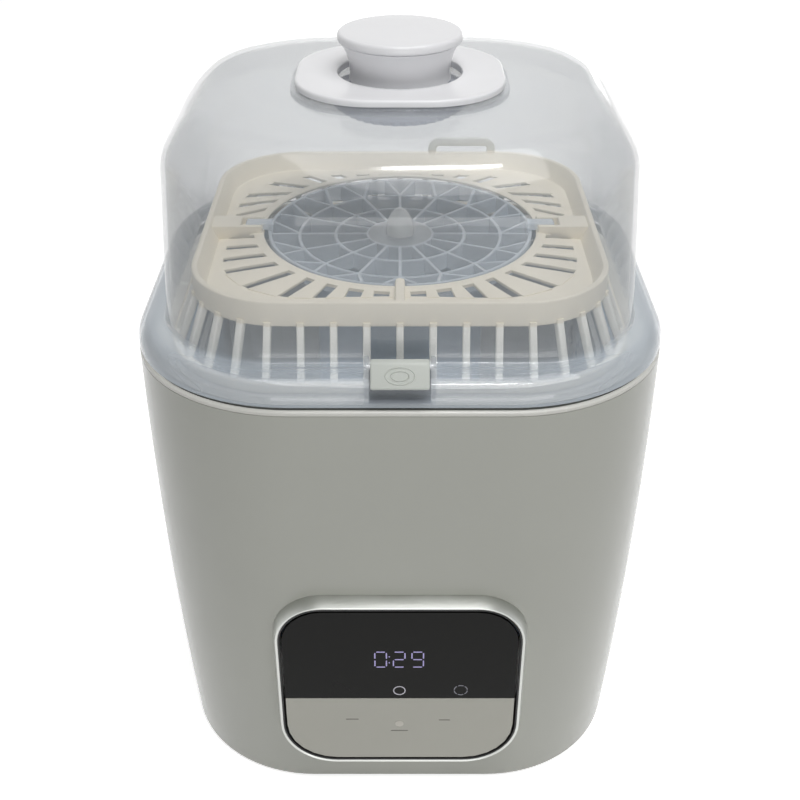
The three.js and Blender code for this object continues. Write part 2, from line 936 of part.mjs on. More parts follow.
function supplyBlock(offsetX, offsetY, width, depth, height) {
  const x = supply.x + offsetX;
  const y = supply.y + offsetY;
  return box([x - width / 2, y - depth / 2, partsZ], [x + width / 2, y + depth / 2, partsZ + height]);
}
part(
  "power_board",
  box(
    [supply.x - supply.boardWidth / 2, supply.y - supply.boardDepth / 2, boardZ],
    [supply.x + supply.boardWidth / 2, supply.y + supply.boardDepth / 2, boardZ + supply.boardThickness],
  ),
  finish.board,
);
part(
  "transformer",
  supplyBlock(
    supply.transformerWidth / 2,
    supply.transformerDepth / 2,
    supply.transformerWidth,
    supply.transformerDepth,
    supply.transformerHeight,
  ),
  finish.brass,
);
part(
  "relay",
  supplyBlock(
    supply.transformerWidth / 2,
    -supply.transformerDepth / 2,
    supply.relayWidth,
    supply.relayDepth,
    supply.relayHeight,
  ),
  finish.dark,
);
const capacitorPlace = [supply.x - supply.transformerWidth / 2, supply.y, partsZ];
part("capacitor", rod(supply.capacitorRadius, capacitorPlace, supply.capacitorHeight), finish.dark);

// Blower: housing open to the filter, impeller on its shaft, motor in front, duct up to the tub
const housingBackY = fan.y + fan.housingDepth / 2;
const housingFrontY = fan.y - fan.housingDepth / 2;
const ductBottomZ = fan.z + fan.housingRadius;

// A rod along the blower's shaft line, from y on.
function shaftRod(radius, y, length, steps = facets.small) {
  return rod(radius, [fan.x, y, fan.z], length, "y", steps);
}

// A square tube or its bore, upright over the blower.
function chimney(half, lowZ, highZ) {
  return box([fan.x - half, fan.y - half, lowZ], [fan.x + half, fan.y + half, highZ]);
}

function fanHousing() {
  const wall = fan.housingWall;
  return cut(
    join(
      shaftRod(fan.housingRadius, housingFrontY, fan.housingDepth, facets.round),
      chimney(fan.outletHalfWidth, fan.z, ductBottomZ),
    ),
    shaftRod(fan.housingRadius - wall, housingFrontY + wall, fan.housingDepth - wall - wall, facets.round),
    shaftRod(fan.inletRadius, fan.y, fan.housingDepth, facets.round),
    shaftRod(fan.shaftRadius + fit, housingFrontY - wall, fan.housingDepth / 2),
    chimney(fan.outletHalfWidth - wall, fan.z, ductBottomZ + cutOverrun),
  );
}
part("fan_housing", fanHousing(), finish.dark);

const impellerFrontY = fan.y - fan.impellerDepth / 2;

function fanImpeller() {
  const disc = rod(fan.impellerRadius, [0, 0, 0], fan.housingWall, "y", facets.round);
  const hub = rod(fan.hubRadius, [0, 0, 0], fan.impellerDepth, "y");
  const bore = rod(fan.shaftRadius + fit, [0, -fit, 0], fan.impellerDepth + fit + fit, "y");
  const blades = [];
  for (let i = 0; i < fan.blades; i++) {
    const blade = box(
      [fan.impellerRadius - fan.bladeLength, 0, -fan.bladeWidth / 2],
      [fan.impellerRadius - fit, fan.impellerDepth, fan.bladeWidth / 2],
    );
    blades.push(blade.rotate([0, (360 * i) / fan.blades, 0]));
  }
  return cut(join(disc, hub, ...blades), bore).translate([fan.x, impellerFrontY, fan.z]);
}
part("fan_impeller", fanImpeller(), finish.dark);

const motorBackY = housingFrontY - fit;
const shaftFrontY = motorBackY - fan.motorLength / 2;
const shaftLength = impellerFrontY + fan.impellerDepth - shaftFrontY;
part("fan_shaft", shaftRod(fan.shaftRadius, shaftFrontY, shaftLength), finish.steel);

function fanMotor() {
  const frontY = motorBackY - fan.motorLength;
  const saddle = box(
    [fan.x - fan.motorRadius, frontY, coverTopZ + fit],
    [fan.x + fan.motorRadius, motorBackY, fan.z],
  );
  const can = shaftRod(fan.motorRadius, frontY, fan.motorLength, facets.round);
  return cut(join(can, saddle), shaftRod(fan.shaftRadius + fit, shaftFrontY - fit, fan.motorLength));
}
part("fan_motor", fanMotor(), finish.steel);

// Duct from the housing's chimney to the tub's air hole, with the air heater inside
const ductTopZ = tub.floorZ - fit;
const ductLowZ = ductBottomZ + fit;

function airDuct() {
  const tube = chimney(fan.outletHalfWidth + fan.ductWall, ductLowZ, ductTopZ);
  return tube.subtract(chimney(fan.outletHalfWidth, ductLowZ - fit, ductTopZ + fit));
}
part("air_duct", airDuct(), finish.dark);

part(
  "air_heater",
  box(
    [fan.x - fan.outletHalfWidth + fit, fan.y - airHeater.depth / 2, ductLowZ + fit],
    [fan.x + fan.outletHalfWidth - fit, fan.y + airHeater.depth / 2, ductLowZ + fit + airHeater.height],
  ),
  finish.brass,
);

// Air filter: seat in the rear opening, cartridge and pull-out cover
const coverFaceY = bodySection(filter.z + filter.coverHalfHeight).halfDepth + filter.coverProud;
const coverFrontY = coverFaceY - filter.coverThickness - filter.coverSkirt;

function filterSeat() {
  const grow = -fit - filter.coverWall - fit;
  const frontY = coverFrontY - filter.seatDepth;
  const length = filter.seatDepth + filter.coverSkirt / 2;
  const sleeve = uprightPrism(filterOutline(grow), frontY, length);
  const hollow = uprightPrism(filterOutline(grow - filter.seatWall), frontY + filter.seatWall, length);
  const neck = shaftRod(fan.inletRadius + filter.seatWall, housingBackY + fit, frontY - housingBackY);
  const mouth = shaftRod(fan.inletRadius, frontY - cutOverrun, cutOverrun + cutOverrun, facets.round);
  return cut(join(sleeve, neck), hollow, mouth);
}
part("filter_seat", filterSeat(), finish.dark);

const cartridgeY = coverFrontY + filter.coverSkirt - fit - filter.cartridgeDepth;
part(
  "filter_cartridge",
  uprightPrism(
    roundedOutline(filter.cartridgeHalfWidth, filter.cartridgeHalfHeight, filter.coverCorner / 2).map(
      ([x, z]) => [x + fan.x, z + filter.z],
    ),
    cartridgeY,
    filter.cartridgeDepth,
  ),
  finish.filterWhite,
);

function filterCover() {
  const block = uprightPrism(filterOutline(0), coverFrontY, filter.coverSkirt + filter.coverThickness);
  const inside = filterOutline(-filter.coverWall);
  const hollow = uprightPrism(inside, coverFrontY - fit, filter.coverSkirt + fit);
  const slots = [];
  for (let i = 0; i < filter.slotCount; i++) {
    const z = filter.z + (i - (filter.slotCount - 1) / 2) * filter.slotPitch;
    slots.push(box(
      [fan.x - filter.slotHalfLength, coverFrontY, z - filter.slotWidth / 2],
      [fan.x + filter.slotHalfLength, coverFaceY + cutOverrun, z + filter.slotWidth / 2],
    ));
  }
  return cut(block, hollow, ...slots);
}
part("filter_cover", filterCover(), finish.casing);

// Mains inlet: flanged socket with two pins
function cordInlet() {
  const wallY = bodySection(inlet.z).halfDepth;
  const backY = wallY - inlet.depth;
  const block = uprightPrism(inletOutline(0), backY, inlet.depth);
  const recess = uprightPrism(inletOutline(-inlet.wall), wallY - inlet.recess, inlet.recess + cutOverrun);
  const pins = [-1, 1].map((side) =>
    rod(
      inlet.pinRadius,
      [inlet.x + side * inlet.pinSpread, wallY - inlet.recess - fit, inlet.z],
      inlet.recess - inlet.wall,
      "y",
      facets.tiny,
    ),
  );
  const flangeDepth = inlet.depth - body.wall - fit - inlet.flange;
  const flange = uprightPrism(inletOutline(inlet.flange), backY, flangeDepth);
  return join(cut(block, recess), ...pins, flange.subtract(recess));
}
part("cord_inlet", cordInlet(), finish.dark);

// Bottle basket: floor grid, four corner posts, top and bottom bands
function basketSection(z, inward = 0) {
  return tubSection(z, tub.wall + basket.gap + inward);
}
const basketFloorZ = plateZ + heater.sheet + basket.legHeight;

function bottleBasket() {
  const low = basketFloorZ;
  const shell = sectionLoft(
    [
      basketSection(low),
      basketSection(basket.topZ),
      basketSection(basket.topZ, basket.wall),
      basketSection(low, basket.wall),
    ],
    true,
  );
  const windowLow = low + basket.bottomBand;
  const windowHigh = basket.topZ - basket.topBand;
  const middle = basketSection(low);
  const windows = [
    box(
      [-(middle.halfWidth - basket.postWidth), -body.topHalfDepth, windowLow],
      [middle.halfWidth - basket.postWidth, body.topHalfDepth, windowHigh],
    ),
    box(
      [-body.topHalfWidth, -(middle.halfDepth - basket.postWidth), windowLow],
      [body.topHalfWidth, middle.halfDepth - basket.postWidth, windowHigh],
    ),
  ];
  const plate = sectionLoft([basketSection(low), basketSection(low + basket.floorThickness)]);
  const limit = sectionLoft([
    basketSection(low - fit, basket.gridHoleMargin),
    basketSection(low + basket.floorThickness + fit, basket.gridHoleMargin),
  ]);
  const holes = [];
  const hole = (basket.gridPitch - basket.gridBar) / 2;
  const reach = Math.floor(middle.halfWidth / basket.gridPitch);
  for (let i = -reach; i <= reach; i++) {
    for (let j = -reach; j <= reach; j++) {
      const x = i * basket.gridPitch;
      const y = j * basket.gridPitch;
      const square = box([x - hole, y - hole, low - cutOverrun], [x + hole, y + hole, low + cutOverrun]);
      holes.push(square);
    }
  }
  const grid = cut(plate, join(...holes).intersect(limit));
  const legs = footPlaces.map(([x, y]) => {
    const place = [Math.sign(x) * basket.legPlace, Math.sign(y) * basket.legPlace, tubFloorTop + fit];
    return rod(basket.legRadius, place, low - tubFloorTop, "z", facets.tiny);
  });
  return join(cut(shell, ...windows), grid, ...legs);
}
part("bottle_basket", bottleBasket(), finish.cream);

// Top tray: rim band, sloped floor with slots, crossbars, peg, splayed ribs on a ring, grip loop
const trayOutline = {
  halfWidth: body.topHalfWidth - lid.footInsetX - tray.lidGapX,
  halfDepth: body.topHalfDepth - lid.footInsetY - tray.lidGapY,
  corner: tray.corner,
};
const openingRadius = Math.min(trayOutline.halfWidth, trayOutline.halfDepth) - tray.openingMargin;
const bandBottomZ = tray.topZ - tray.bandHeight;
const ringLowZ = body.topZ + fit;
const ringOutline = (z, inward = 0) => shrink(trayOutline, inward - tray.ribFlare, z);

function trayFloor() {
  const foot = shrink({ ...trayOutline, z: tray.floorEdgeZ }, tray.footInset / 2);
  const round = {
    halfWidth: openingRadius,
    halfDepth: openingRadius,
    corner: openingRadius,
    z: tray.openingZ,
  };
  const rings = [
    { ...foot, z: foot.z - tray.floorThickness },
    foot,
    round,
    { ...round, z: round.z - tray.floorThickness },
  ];
  return loft(rings.map(polarPoints), true);
}

// Slots run outward from the opening, skewed towards the crossbars, alike in all four quarters.
function traySlots() {
  const edge = {
    halfWidth: trayOutline.halfWidth - tray.slotMarginX,
    halfDepth: trayOutline.halfDepth - tray.slotMarginY,
    corner: tray.slotCorner,
  };
  const start = openingRadius + tray.slotLead;
  return slotShares.flatMap(([skewShare, widthShare], i) => {
    const inner = THREE.MathUtils.degToRad(tray.slotFirstDegrees + i * tray.slotStepDegrees);
    const outer = inner - THREE.MathUtils.degToRad(tray.slotSkewDegrees * skewShare);
    const half = (tray.slotWidth * widthShare) / 2;
    const outerSpread = half / outlineReach(edge, outer);
    const corner = (angle, reach) => [reach * Math.cos(angle), reach * Math.sin(angle)];
    const outline = [
      corner(inner - half / start, start),
      ...[-outerSpread, outerSpread].map((turn) => corner(outer + turn, outlineReach(edge, outer + turn))),
      corner(inner + half / start, start),
    ];
    const slot = prism(outline, tray.bandHeight).translate([0, 0, bandBottomZ - fit]);
    const mirrored = slot.mirror([1, 0, 0]);
    return [slot, mirrored, slot.mirror([0, 1, 0]), mirrored.mirror([0, 1, 0])];
  });
}

// Place on the band at a run from the middle of its front, with the way out of the tray in degrees.
function bandPlace(run) {
  const { halfWidth, halfDepth, corner } = trayOutline;
  const flat = halfWidth - corner;
  const bend = (Math.PI / 2) * corner;
  if (run <= flat) return [run, -halfDepth, -90];
  if (run >= flat + bend) return [halfWidth, run - flat - bend - (halfDepth - corner), 0];
  const degrees = ((run - flat) / bend) * 90 - 90;
  const angle = THREE.MathUtils.degToRad(degrees);
  return [flat + corner * Math.cos(angle), corner - halfDepth + corner * Math.sin(angle), degrees];
}

// Rib places: one pitch along the front and the sides, a closer one round the corners, in all four quarters.
function ribPlaces() {
  const quarter = trayOutline.halfWidth + trayOutline.halfDepth - (2 - Math.PI / 2) * trayOutline.corner;
  const lastFront = tray.ribPitch * (tray.frontRibs - 1);
  const firstSide = quarter - tray.ribPitch * (tray.sideRibs - 1 / 2);
  const runs = [];
  for (let i = 1; i < tray.frontRibs; i++) runs.push(i * tray.ribPitch);
  for (let i = 1; i <= tray.cornerRibs; i++) runs.push(mix(lastFront, firstSide, i / (tray.cornerRibs + 1)));
  for (let i = 0; i < tray.sideRibs; i++) runs.push(firstSide + i * tray.ribPitch);
  const places = runs.map(bandPlace).flatMap(([x, y, turn]) => [
    [x, y, turn],
    [-x, y, 180 - turn],
    [x, -y, -turn],
    [-x, -y, 180 + turn],
  ]);
  const [, middleY] = bandPlace(0);
  return [...places, [0, middleY, -90], [0, -middleY, 90]];
}

function trayRibs() {
  const top = bandBottomZ + tray.ribLap;
  const low = ringLowZ + tray.ringHeight / 2;
  const outline = [
    [-tray.ribDepth / 2, top],
    [-tray.ribDepth / 2, bandBottomZ - tray.ribLap],
    [tray.ribFlare - tray.ribDepth, low],
    [tray.ribFlare - tray.ribProud, low],
    [tray.ribProud, top],
  ];
  const rib = prism(outline, tray.ribWidth).rotate([90, 0, 0]).translate([0, tray.ribWidth / 2, 0]);
  return ribPlaces().map(([x, y, turn]) => rib.rotate([0, 0, turn]).translate([x, y, 0]));
}

function topTray() {
  const outer = { ...trayOutline, z: bandBottomZ };
  const inner = shrink(outer, tray.rim);
  const foot = shrink(outer, tray.footInset);
  const band = sectionLoft(
    [
      outer,
      { ...outer, z: tray.topZ },
      { ...inner, z: tray.topZ },
      { ...foot, z: tray.floorEdgeZ + fit },
      { ...foot, z: bandBottomZ },
    ],
    true,
  );
  const openingReach = openingRadius - fit;
  const crossbars = [-1, 1].map((side) => {
    const ends = [side * openingReach, side * (trayOutline.halfWidth - tray.rim)];
    const bar = box(
      [Math.min(...ends), tray.crossbarY - tray.crossbarHalfWidth, tray.floorEdgeZ - fit],
      [Math.max(...ends), tray.crossbarY + tray.crossbarHalfWidth, tray.crossbarTopZ],
    );
    const seatEnds = [side * (openingReach - cutOverrun), side * (openingReach + tray.earSeatLength)];
    const seat = box(
      [Math.min(...seatEnds), tray.crossbarY - tray.earSeatHalfWidth, tray.earSeatZ],
      [Math.max(...seatEnds), tray.crossbarY + tray.earSeatHalfWidth, tray.crossbarTopZ + cutOverrun],
    );
    return [bar, seat];
  });
  const pegLow = tray.openingZ - tray.floorThickness;
  const pegOutline = [
    ...arc(0, tray.pegTopZ - tray.pegHalfWidth, tray.pegHalfWidth, 0, 180),
    [-tray.pegHalfWidth, pegLow],
    [tray.pegHalfWidth, pegLow],
  ];
  const pegStart = -(trayOutline.halfDepth - tray.rim);
  const peg = uprightPrism(pegOutline, pegStart, -pegStart - openingRadius + tray.pegReach);
  const ring = sectionLoft(
    [
      ringOutline(ringLowZ),
      ringOutline(ringLowZ + tray.ringHeight),
      ringOutline(ringLowZ + tray.ringHeight, tray.ringWidth),
      ringOutline(ringLowZ, tray.ringWidth),
    ],
    true,
  );
  const loopLowZ = tray.topZ - tray.rim;
  const loopOutline = (inward) => {
    const half = tray.loopHalfWidth - inward;
    const top = tray.topZ + tray.loopHeight - inward;
    const corner = tray.loopHeight / 2 - inward / 2;
    return [
      [half, loopLowZ],
      ...arc(half - corner, top - corner, corner, 0, 90),
      ...arc(corner - half, top - corner, corner, 90, 180),
      [-half, loopLowZ],
    ];
  };
  const loopY = trayOutline.halfDepth - tray.loopThickness;
  const loopHole = uprightPrism(loopOutline(tray.loopBar), loopY - cutOverrun, cutOverrun + cutOverrun)
    .intersect(box([-cutOverrun, 0, tray.topZ], [cutOverrun, body.topHalfDepth, tray.topZ + cutOverrun]));
  const loopBar = uprightPrism(loopOutline(0), loopY, tray.loopThickness);
  const loop = loopBar.subtract(loopHole).translate([tray.loopX, 0, 0]);
  const seats = crossbars.map(([, seat]) => seat);
  return cut(
    join(
      band,
      cut(trayFloor(), ...traySlots()),
      ...crossbars.map(([bar]) => bar),
      peg,
      ring,
      ...trayRibs(),
      loop,
    ),
    ...seats,
  );
}
part("top_tray", topTray(), finish.cream);

// Clear rack: hub with centre cone, spokes that fork near the rim, rings, two ears and a notch for the peg
const rackRadius = openingRadius - rack.openingGap;

function ringWall(radius, steps = rack.spokes) {
  const inner = radius - rack.finWidth;
  return turned([
    [inner, rack.topZ - rack.finHeight],
    [radius, rack.topZ - rack.finHeight],
    [radius, rack.topZ],
    [inner, rack.topZ],
    [inner, rack.topZ - rack.finHeight],
  ], steps);
}

function fin(fromRadius, fromDegrees, toRadius, toDegrees) {
  const [start, end] = [[fromRadius, fromDegrees], [toRadius, toDegrees]].map(([radius, degrees]) => {
    const angle = THREE.MathUtils.degToRad(degrees);
    return [radius * Math.cos(angle), radius * Math.sin(angle)];
  });
  const length = Math.hypot(end[0] - start[0], end[1] - start[1]);
  const turn = THREE.MathUtils.radToDeg(Math.atan2(end[1] - start[1], end[0] - start[0]));
  const outline = [
    [0, rack.topZ - rack.finHeight],
    [length, rack.topZ - rack.finHeight],
    [length, rack.topZ],
    [0, rack.topZ],
  ];
  return prism(outline, rack.finWidth)
    .rotate([90, 0, 0])
    .translate([0, rack.finWidth / 2, 0])
    .rotate([0, 0, turn])
    .translate([start[0], start[1], 0]);
}

function clearRack() {
  const rim = rackRadius - rack.finWidth / 2;
  const outerRing = rackRadius * rack.outerRingShare;
  const fork = outerRing - rack.finWidth / 2;
  const pieces = [
    ringWall(rackRadius, facets.floorRing),
    ringWall(outerRing),
    ringWall(rackRadius * rack.innerRingShare),
    rod(rack.hubRadius, [0, 0, rack.topZ - rack.hubThickness], rack.hubThickness, "z", rack.spokes),
    ringWall(rack.hubRadius),
    turned([
      [0, rack.topZ - fit],
      [rack.coneRadius, rack.topZ - fit],
      ...coneShares.map(([out, up]) => [rack.coneRadius * out, rack.topZ + rack.coneHeight * up]),
    ], facets.small),
  ];
  for (let i = 0; i < rack.spokes; i++) {
    const degrees = (360 * i) / rack.spokes;
    pieces.push(fin(rack.hubRadius - rack.finWidth / 2, degrees, fork, degrees));
    pieces.push(fin(fork, degrees, rim, degrees - rack.forkDegrees));
    pieces.push(fin(fork, degrees, rim, degrees + rack.forkDegrees));
  }
  const earHalf = tray.earSeatHalfWidth - fit - fit;
  const earLow = tray.earSeatZ + fit;
  [-1, 1].forEach((side) => {
    const ends = [side * (rim - rack.ringWidth), side * (openingRadius + rack.earLength)];
    pieces.push(box(
      [Math.min(...ends), tray.crossbarY - earHalf, earLow],
      [Math.max(...ends), tray.crossbarY + earHalf, earLow + rack.earThickness],
    ));
    const rootEnds = [side * (rim - rack.ringWidth), side * rim];
    pieces.push(box(
      [Math.min(...rootEnds), tray.crossbarY - earHalf, rack.topZ - fit],
      [Math.max(...rootEnds), tray.crossbarY + earHalf, earLow + rack.earThickness],
    ));
  });
  const notchHalf = tray.pegHalfWidth + rack.notchGap;
  const notch = box(
    [-notchHalf, -openingRadius, rack.topZ - rack.finHeight - cutOverrun],
    [notchHalf, tray.pegReach + rack.notchGap - openingRadius, rack.topZ + cutOverrun],
  );
  return join(...pieces).subtract(notch);
}
part("clear_rack", clearRack(), finish.clear);

// Lid dome: skirt, wall, shoulder, crown, pad for the knob plate, seat rib and latch pocket
const skirtLowZ = body.topZ + lid.skirtGap;
const lidFoot = {
  halfWidth: body.topHalfWidth - lid.footInsetX,
  halfDepth: body.topHalfDepth - lid.footInsetY,
  corner: lid.footCorner,
  z: lid.footZ,
};
const skirtEdge = { ...bodySection(body.topZ), z: skirtLowZ };
const wallTop = {
  ...lidFoot,
  corner: lid.wallTopCorner,
  z: lid.wallTopZ,
};
const domeTopZ = lid.wallTopZ + lid.shoulderRise;

function mixSection(from, to, shareIn, shareUp) {
  return {
    halfWidth: mix(from.halfWidth, to.halfWidth, shareIn),
    halfDepth: mix(from.halfDepth, to.halfDepth, shareIn),
    corner: mix(from.corner, to.corner, shareIn),
    z: mix(from.z, to.z, shareUp),
  };
}

// Outer sections from the skirt's lower edge to the crown, drawn inward by a wall.
function lidSections(inward) {
  const shoulderEnd = shrink(wallTop, lid.shoulderRun, domeTopZ);
  const between = (from, to, shares) => {
    return shares.map(([shareIn, shareUp]) => mixSection(from, to, shareIn, shareUp));
  };
  const sections = [
    ...between(skirtEdge, lidFoot, skirtShares),
    lidFoot,
    ...between(lidFoot, wallTop, wallShares),
    ...between(wallTop, shoulderEnd, shoulderShares),
  ];
  crownShares.forEach((share) => {
    sections.push({
      halfWidth: shoulderEnd.halfWidth * share,
      halfDepth: shoulderEnd.halfDepth * share,
      corner: shoulderEnd.corner * share,
      z: domeTopZ + lid.crown * (1 - share ** 2),
    });
  });
  return offsetInward(sections, inward);
}

// Draws each section in along the surface's own slope.
function offsetInward(sections, wall) {
  return sections.map((section, i) => {
    const before = sections[Math.max(i - 1, 0)];
    const after = sections[Math.min(i + 1, sections.length - 1)];
    const run = before.halfWidth - after.halfWidth;
    const rise = after.z - before.z;
    const length = Math.hypot(run, rise);
    return shrink(section, (wall * rise) / length, section.z - (wall * run) / length);
  });
}

const pivotY = -(body.topHalfDepth - latch.pivotInset);
const pocketHalfWidth = latch.halfWidth + latch.sideGap;
const pocketBackY = pivotY + latch.topRadius + latch.backGap;

function lidDome() {
  const outer = sectionLoft(lidSections(0));
  const innerSections = lidSections(lid.wall);
  innerSections.unshift({ ...innerSections[0], z: skirtLowZ - cutOverrun });
  const hollow = sectionLoft(innerSections);
  const padTopZ = domeTopZ + lid.crown + lid.padRise;
  const pad = sectionLoft([
    { halfWidth: lid.padHalfWidth, halfDepth: lid.padHalfDepth, corner: lid.padCorner, z: domeTopZ },
    { halfWidth: lid.padHalfWidth, halfDepth: lid.padHalfDepth, corner: lid.padCorner, z: padTopZ },
  ]);
  const ribTop = shrink(skirtEdge, lid.seatRibInset, lid.footZ - lid.wall);
  const ribLow = { ...ribTop, z: body.topZ + fit };
  const seatRib = sectionLoft(
    [ribLow, ribTop, shrink(ribTop, lid.seatRibWall), shrink(ribLow, lid.seatRibWall)],
    true,
  ).intersect(sectionLoft(lidSections(lid.wall / 2).map((section, i) => (i === 0
    ? { ...section, z: body.topZ }
    : section))));
  const sides = pocketHalfWidth + latch.cheek;
  const backY = pocketBackY + latch.backWall;
  const frontY = -body.topHalfDepth - cutOverrun;
  const inSkirt = box([-sides, frontY, skirtLowZ], [sides, backY, lid.footZ]).intersect(outer);
  const cheekOutline = [
    ...arc(-pivotY, latch.pivotZ, latch.cheekRise, 0, 90, facets.corner / 2),
    [-backY, latch.pivotZ + latch.cheekRise],
    [-backY, skirtLowZ],
    [-pivotY + latch.cheekRise, skirtLowZ],
  ];
  const cheeks = prism(cheekOutline, sides + sides).rotate([90, 0, -90]).translate([sides, 0, 0]);
  const pocketCut = box(
    [-pocketHalfWidth, frontY, skirtLowZ + latch.pocketFloor],
    [pocketHalfWidth, pocketBackY, lid.footZ + cutOverrun],
  );
  const pinLength = latch.pinOverhang + pocketHalfWidth;
  const pinHole = rod(
    latch.pinRadius + latch.pinClearance / 2,
    [-pinLength, pivotY, latch.pivotZ],
    pinLength + pinLength,
    "x",
    facets.tiny,
  );
  const bore = rod(lid.boreRadius, [0, 0, domeTopZ - cutOverrun], cutOverrun + cutOverrun + cutOverrun);
  return cut(join(outer.subtract(hollow), pad, seatRib, inSkirt, cheeks), pocketCut, pinHole, bore);
}
part("lid_dome", lidDome(), finish.frosted);

// Knob: plate with an opening round the neck, neck, cap, boss inside the dome and the screw through them
const padTopZ = domeTopZ + lid.crown + lid.padRise;
const knobPlateZ = padTopZ + fit;
const knobPlateTopZ = knobPlateZ + knob.plateThickness;

function knobPlate() {
  const edge = { halfWidth: knob.plateHalfWidth, halfDepth: knob.plateHalfDepth, corner: knob.plateCorner };
  const plate = sectionLoft([
    { ...edge, z: knobPlateZ },
    { ...edge, z: knobPlateTopZ - knob.plateRound },
    shrink({ ...edge, z: knobPlateTopZ }, knob.plateRound / 2, knobPlateTopZ - knob.plateRound / 4),
    shrink({ ...edge, z: knobPlateTopZ }, knob.plateRound * 2),
  ]);
  const low = [0, 0, knobPlateZ - cutOverrun];
  return plate.subtract(rod(knob.openingRadius, low, cutOverrun + cutOverrun, "z", facets.round));
}
part("knob_plate", knobPlate(), finish.white);

const neckZ = knobPlateZ;
const neckTopZ = neckZ + knob.neckHeight;

function knobNeck() {
  const neck = turned([
    [0, neckZ],
    [knob.neckBaseRadius, neckZ],
    [knob.neckWaistRadius, mix(neckZ, neckTopZ, neckShares[0])],
    [mix(knob.neckWaistRadius, knob.neckTopRadius, neckShares[2]), mix(neckZ, neckTopZ, neckShares[1])],
    [knob.neckTopRadius, neckTopZ],
    [0, neckTopZ],
  ]);
  const hole = rod(knob.screwRadius, [0, 0, neckZ - fit], knob.neckHeight / 2);
  return neck.subtract(hole);
}
part("knob_neck", knobNeck(), finish.white);

const capZ = neckTopZ + knob.seam;
const capTopZ = capZ + knob.capHeight;
part(
  "knob_cap",
  turned([
    [0, capZ],
    [knob.capRadius - knob.capRound / 2, capZ],
    [knob.capRadius, capZ + knob.capRound / 2],
    [knob.capRadius, capTopZ - knob.capRound],
    [knob.capRadius - knob.capRound / 3, capTopZ - knob.capRound / 3],
    [knob.capRadius - knob.capRound, capTopZ],
    [0, capTopZ],
  ]),
  finish.white,
);

// The boss hangs under the crown, whose inner face is flat enough to leave the named gap at its rim.
const bossTopZ = domeTopZ + lid.crown * (1 - crownShares[1] ** 2) - lid.wall - fit;
const bossLowZ = bossTopZ - knob.bossHeight - knob.bossStepHeight;

function knobBoss() {
  const boss = turned([
    [0, bossLowZ],
    [knob.bossRadius - knob.bossStep, bossLowZ],
    [knob.bossRadius - knob.bossStep, bossLowZ + knob.bossStepHeight],
    [knob.bossRadius, bossLowZ + knob.bossStepHeight],
    [knob.bossRadius, bossTopZ],
    [0, bossTopZ],
  ]);
  const hole = rod(knob.screwRadius + fit, [0, 0, bossLowZ - fit], cutOverrun);
  const headWell = rod(knob.screwHeadRadius + fit, [0, 0, bossLowZ - fit], knob.bossStepHeight + fit);
  return cut(boss, hole, headWell);
}
part("knob_boss", knobBoss(), finish.clear);

function knobScrew() {
  const headZ = bossLowZ + knob.bossStepHeight - fit - knob.screwHeadHeight;
  const head = rod(knob.screwHeadRadius, [0, 0, headZ], knob.screwHeadHeight);
  const shankEnd = neckZ + knob.neckHeight / 2 - fit - fit;
  const shank = rod(knob.screwRadius - fit, [0, 0, headZ], shankEnd - headZ);
  return head.add(shank);
}
part("knob_screw", knobScrew(), finish.steel);

// Front latch: rolled top round the pin, sloped face, lower lip, raised ring mark
function latchOutline() {
  const outer = latch.pivotInset - latch.reachInset;
  const low = -latch.lowerDrop;
  const [chinShare, backShare, backDropShare] = latchShares;
  return [
    ...arc(0, 0, latch.topRadius, 200, latch.faceDegrees),
    [outer, low * chinShare],
    [outer, low],
    [outer - latch.thickness, low],
    [outer * backShare, low * backDropShare],
  ];
}

function frontLatch() {
  // Drawn as [outward, height] about the pin, then turned so that outward is the front.
  const body2d = prism(latchOutline(), latch.halfWidth + latch.halfWidth);
  const tab = body2d.rotate([90, 0, -90]).translate([latch.halfWidth, 0, 0]);
  const bore = rod(
    latch.pinRadius + latch.pinClearance,
    [-cutOverrun, 0, 0],
    cutOverrun + cutOverrun,
    "x",
    facets.tiny,
  );
  return tab.subtract(bore).translate([0, pivotY, latch.pivotZ]);
}
part("front_latch", frontLatch(), finish.latchGrey);

const pinHalf = latch.pinOverhang + pocketHalfWidth - fit;
part(
  "latch_pin",
  rod(latch.pinRadius, [-pinHalf, pivotY, latch.pivotZ], pinHalf + pinHalf, "x", facets.tiny),
  finish.steel,
);

// The origin goes under the middle of the whole object.
const bounds = new THREE.Box3().setFromObject(model);
model.position.y = -(bounds.min.y + bounds.max.y) / 2;

export default model;
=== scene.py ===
# %% [markdown]
# # A bottle sterilizer under a see-through lid
# The real thing is a counter-top steam sterilizer for baby bottles. It has a grey barrel-shaped casing, a
# cream tray that stands on splayed ribs, a clear rack in the tray's opening, and a frosted dome with a
# white knob. A CAD model already holds every size and every joint. This lesson dresses it: the pieces that
# show get finer meshes in the CAD's own places, and every piece gets a finish made of shader nodes.
#
# The first step loads the CAD pieces and the record that goes with them.

import json
import math

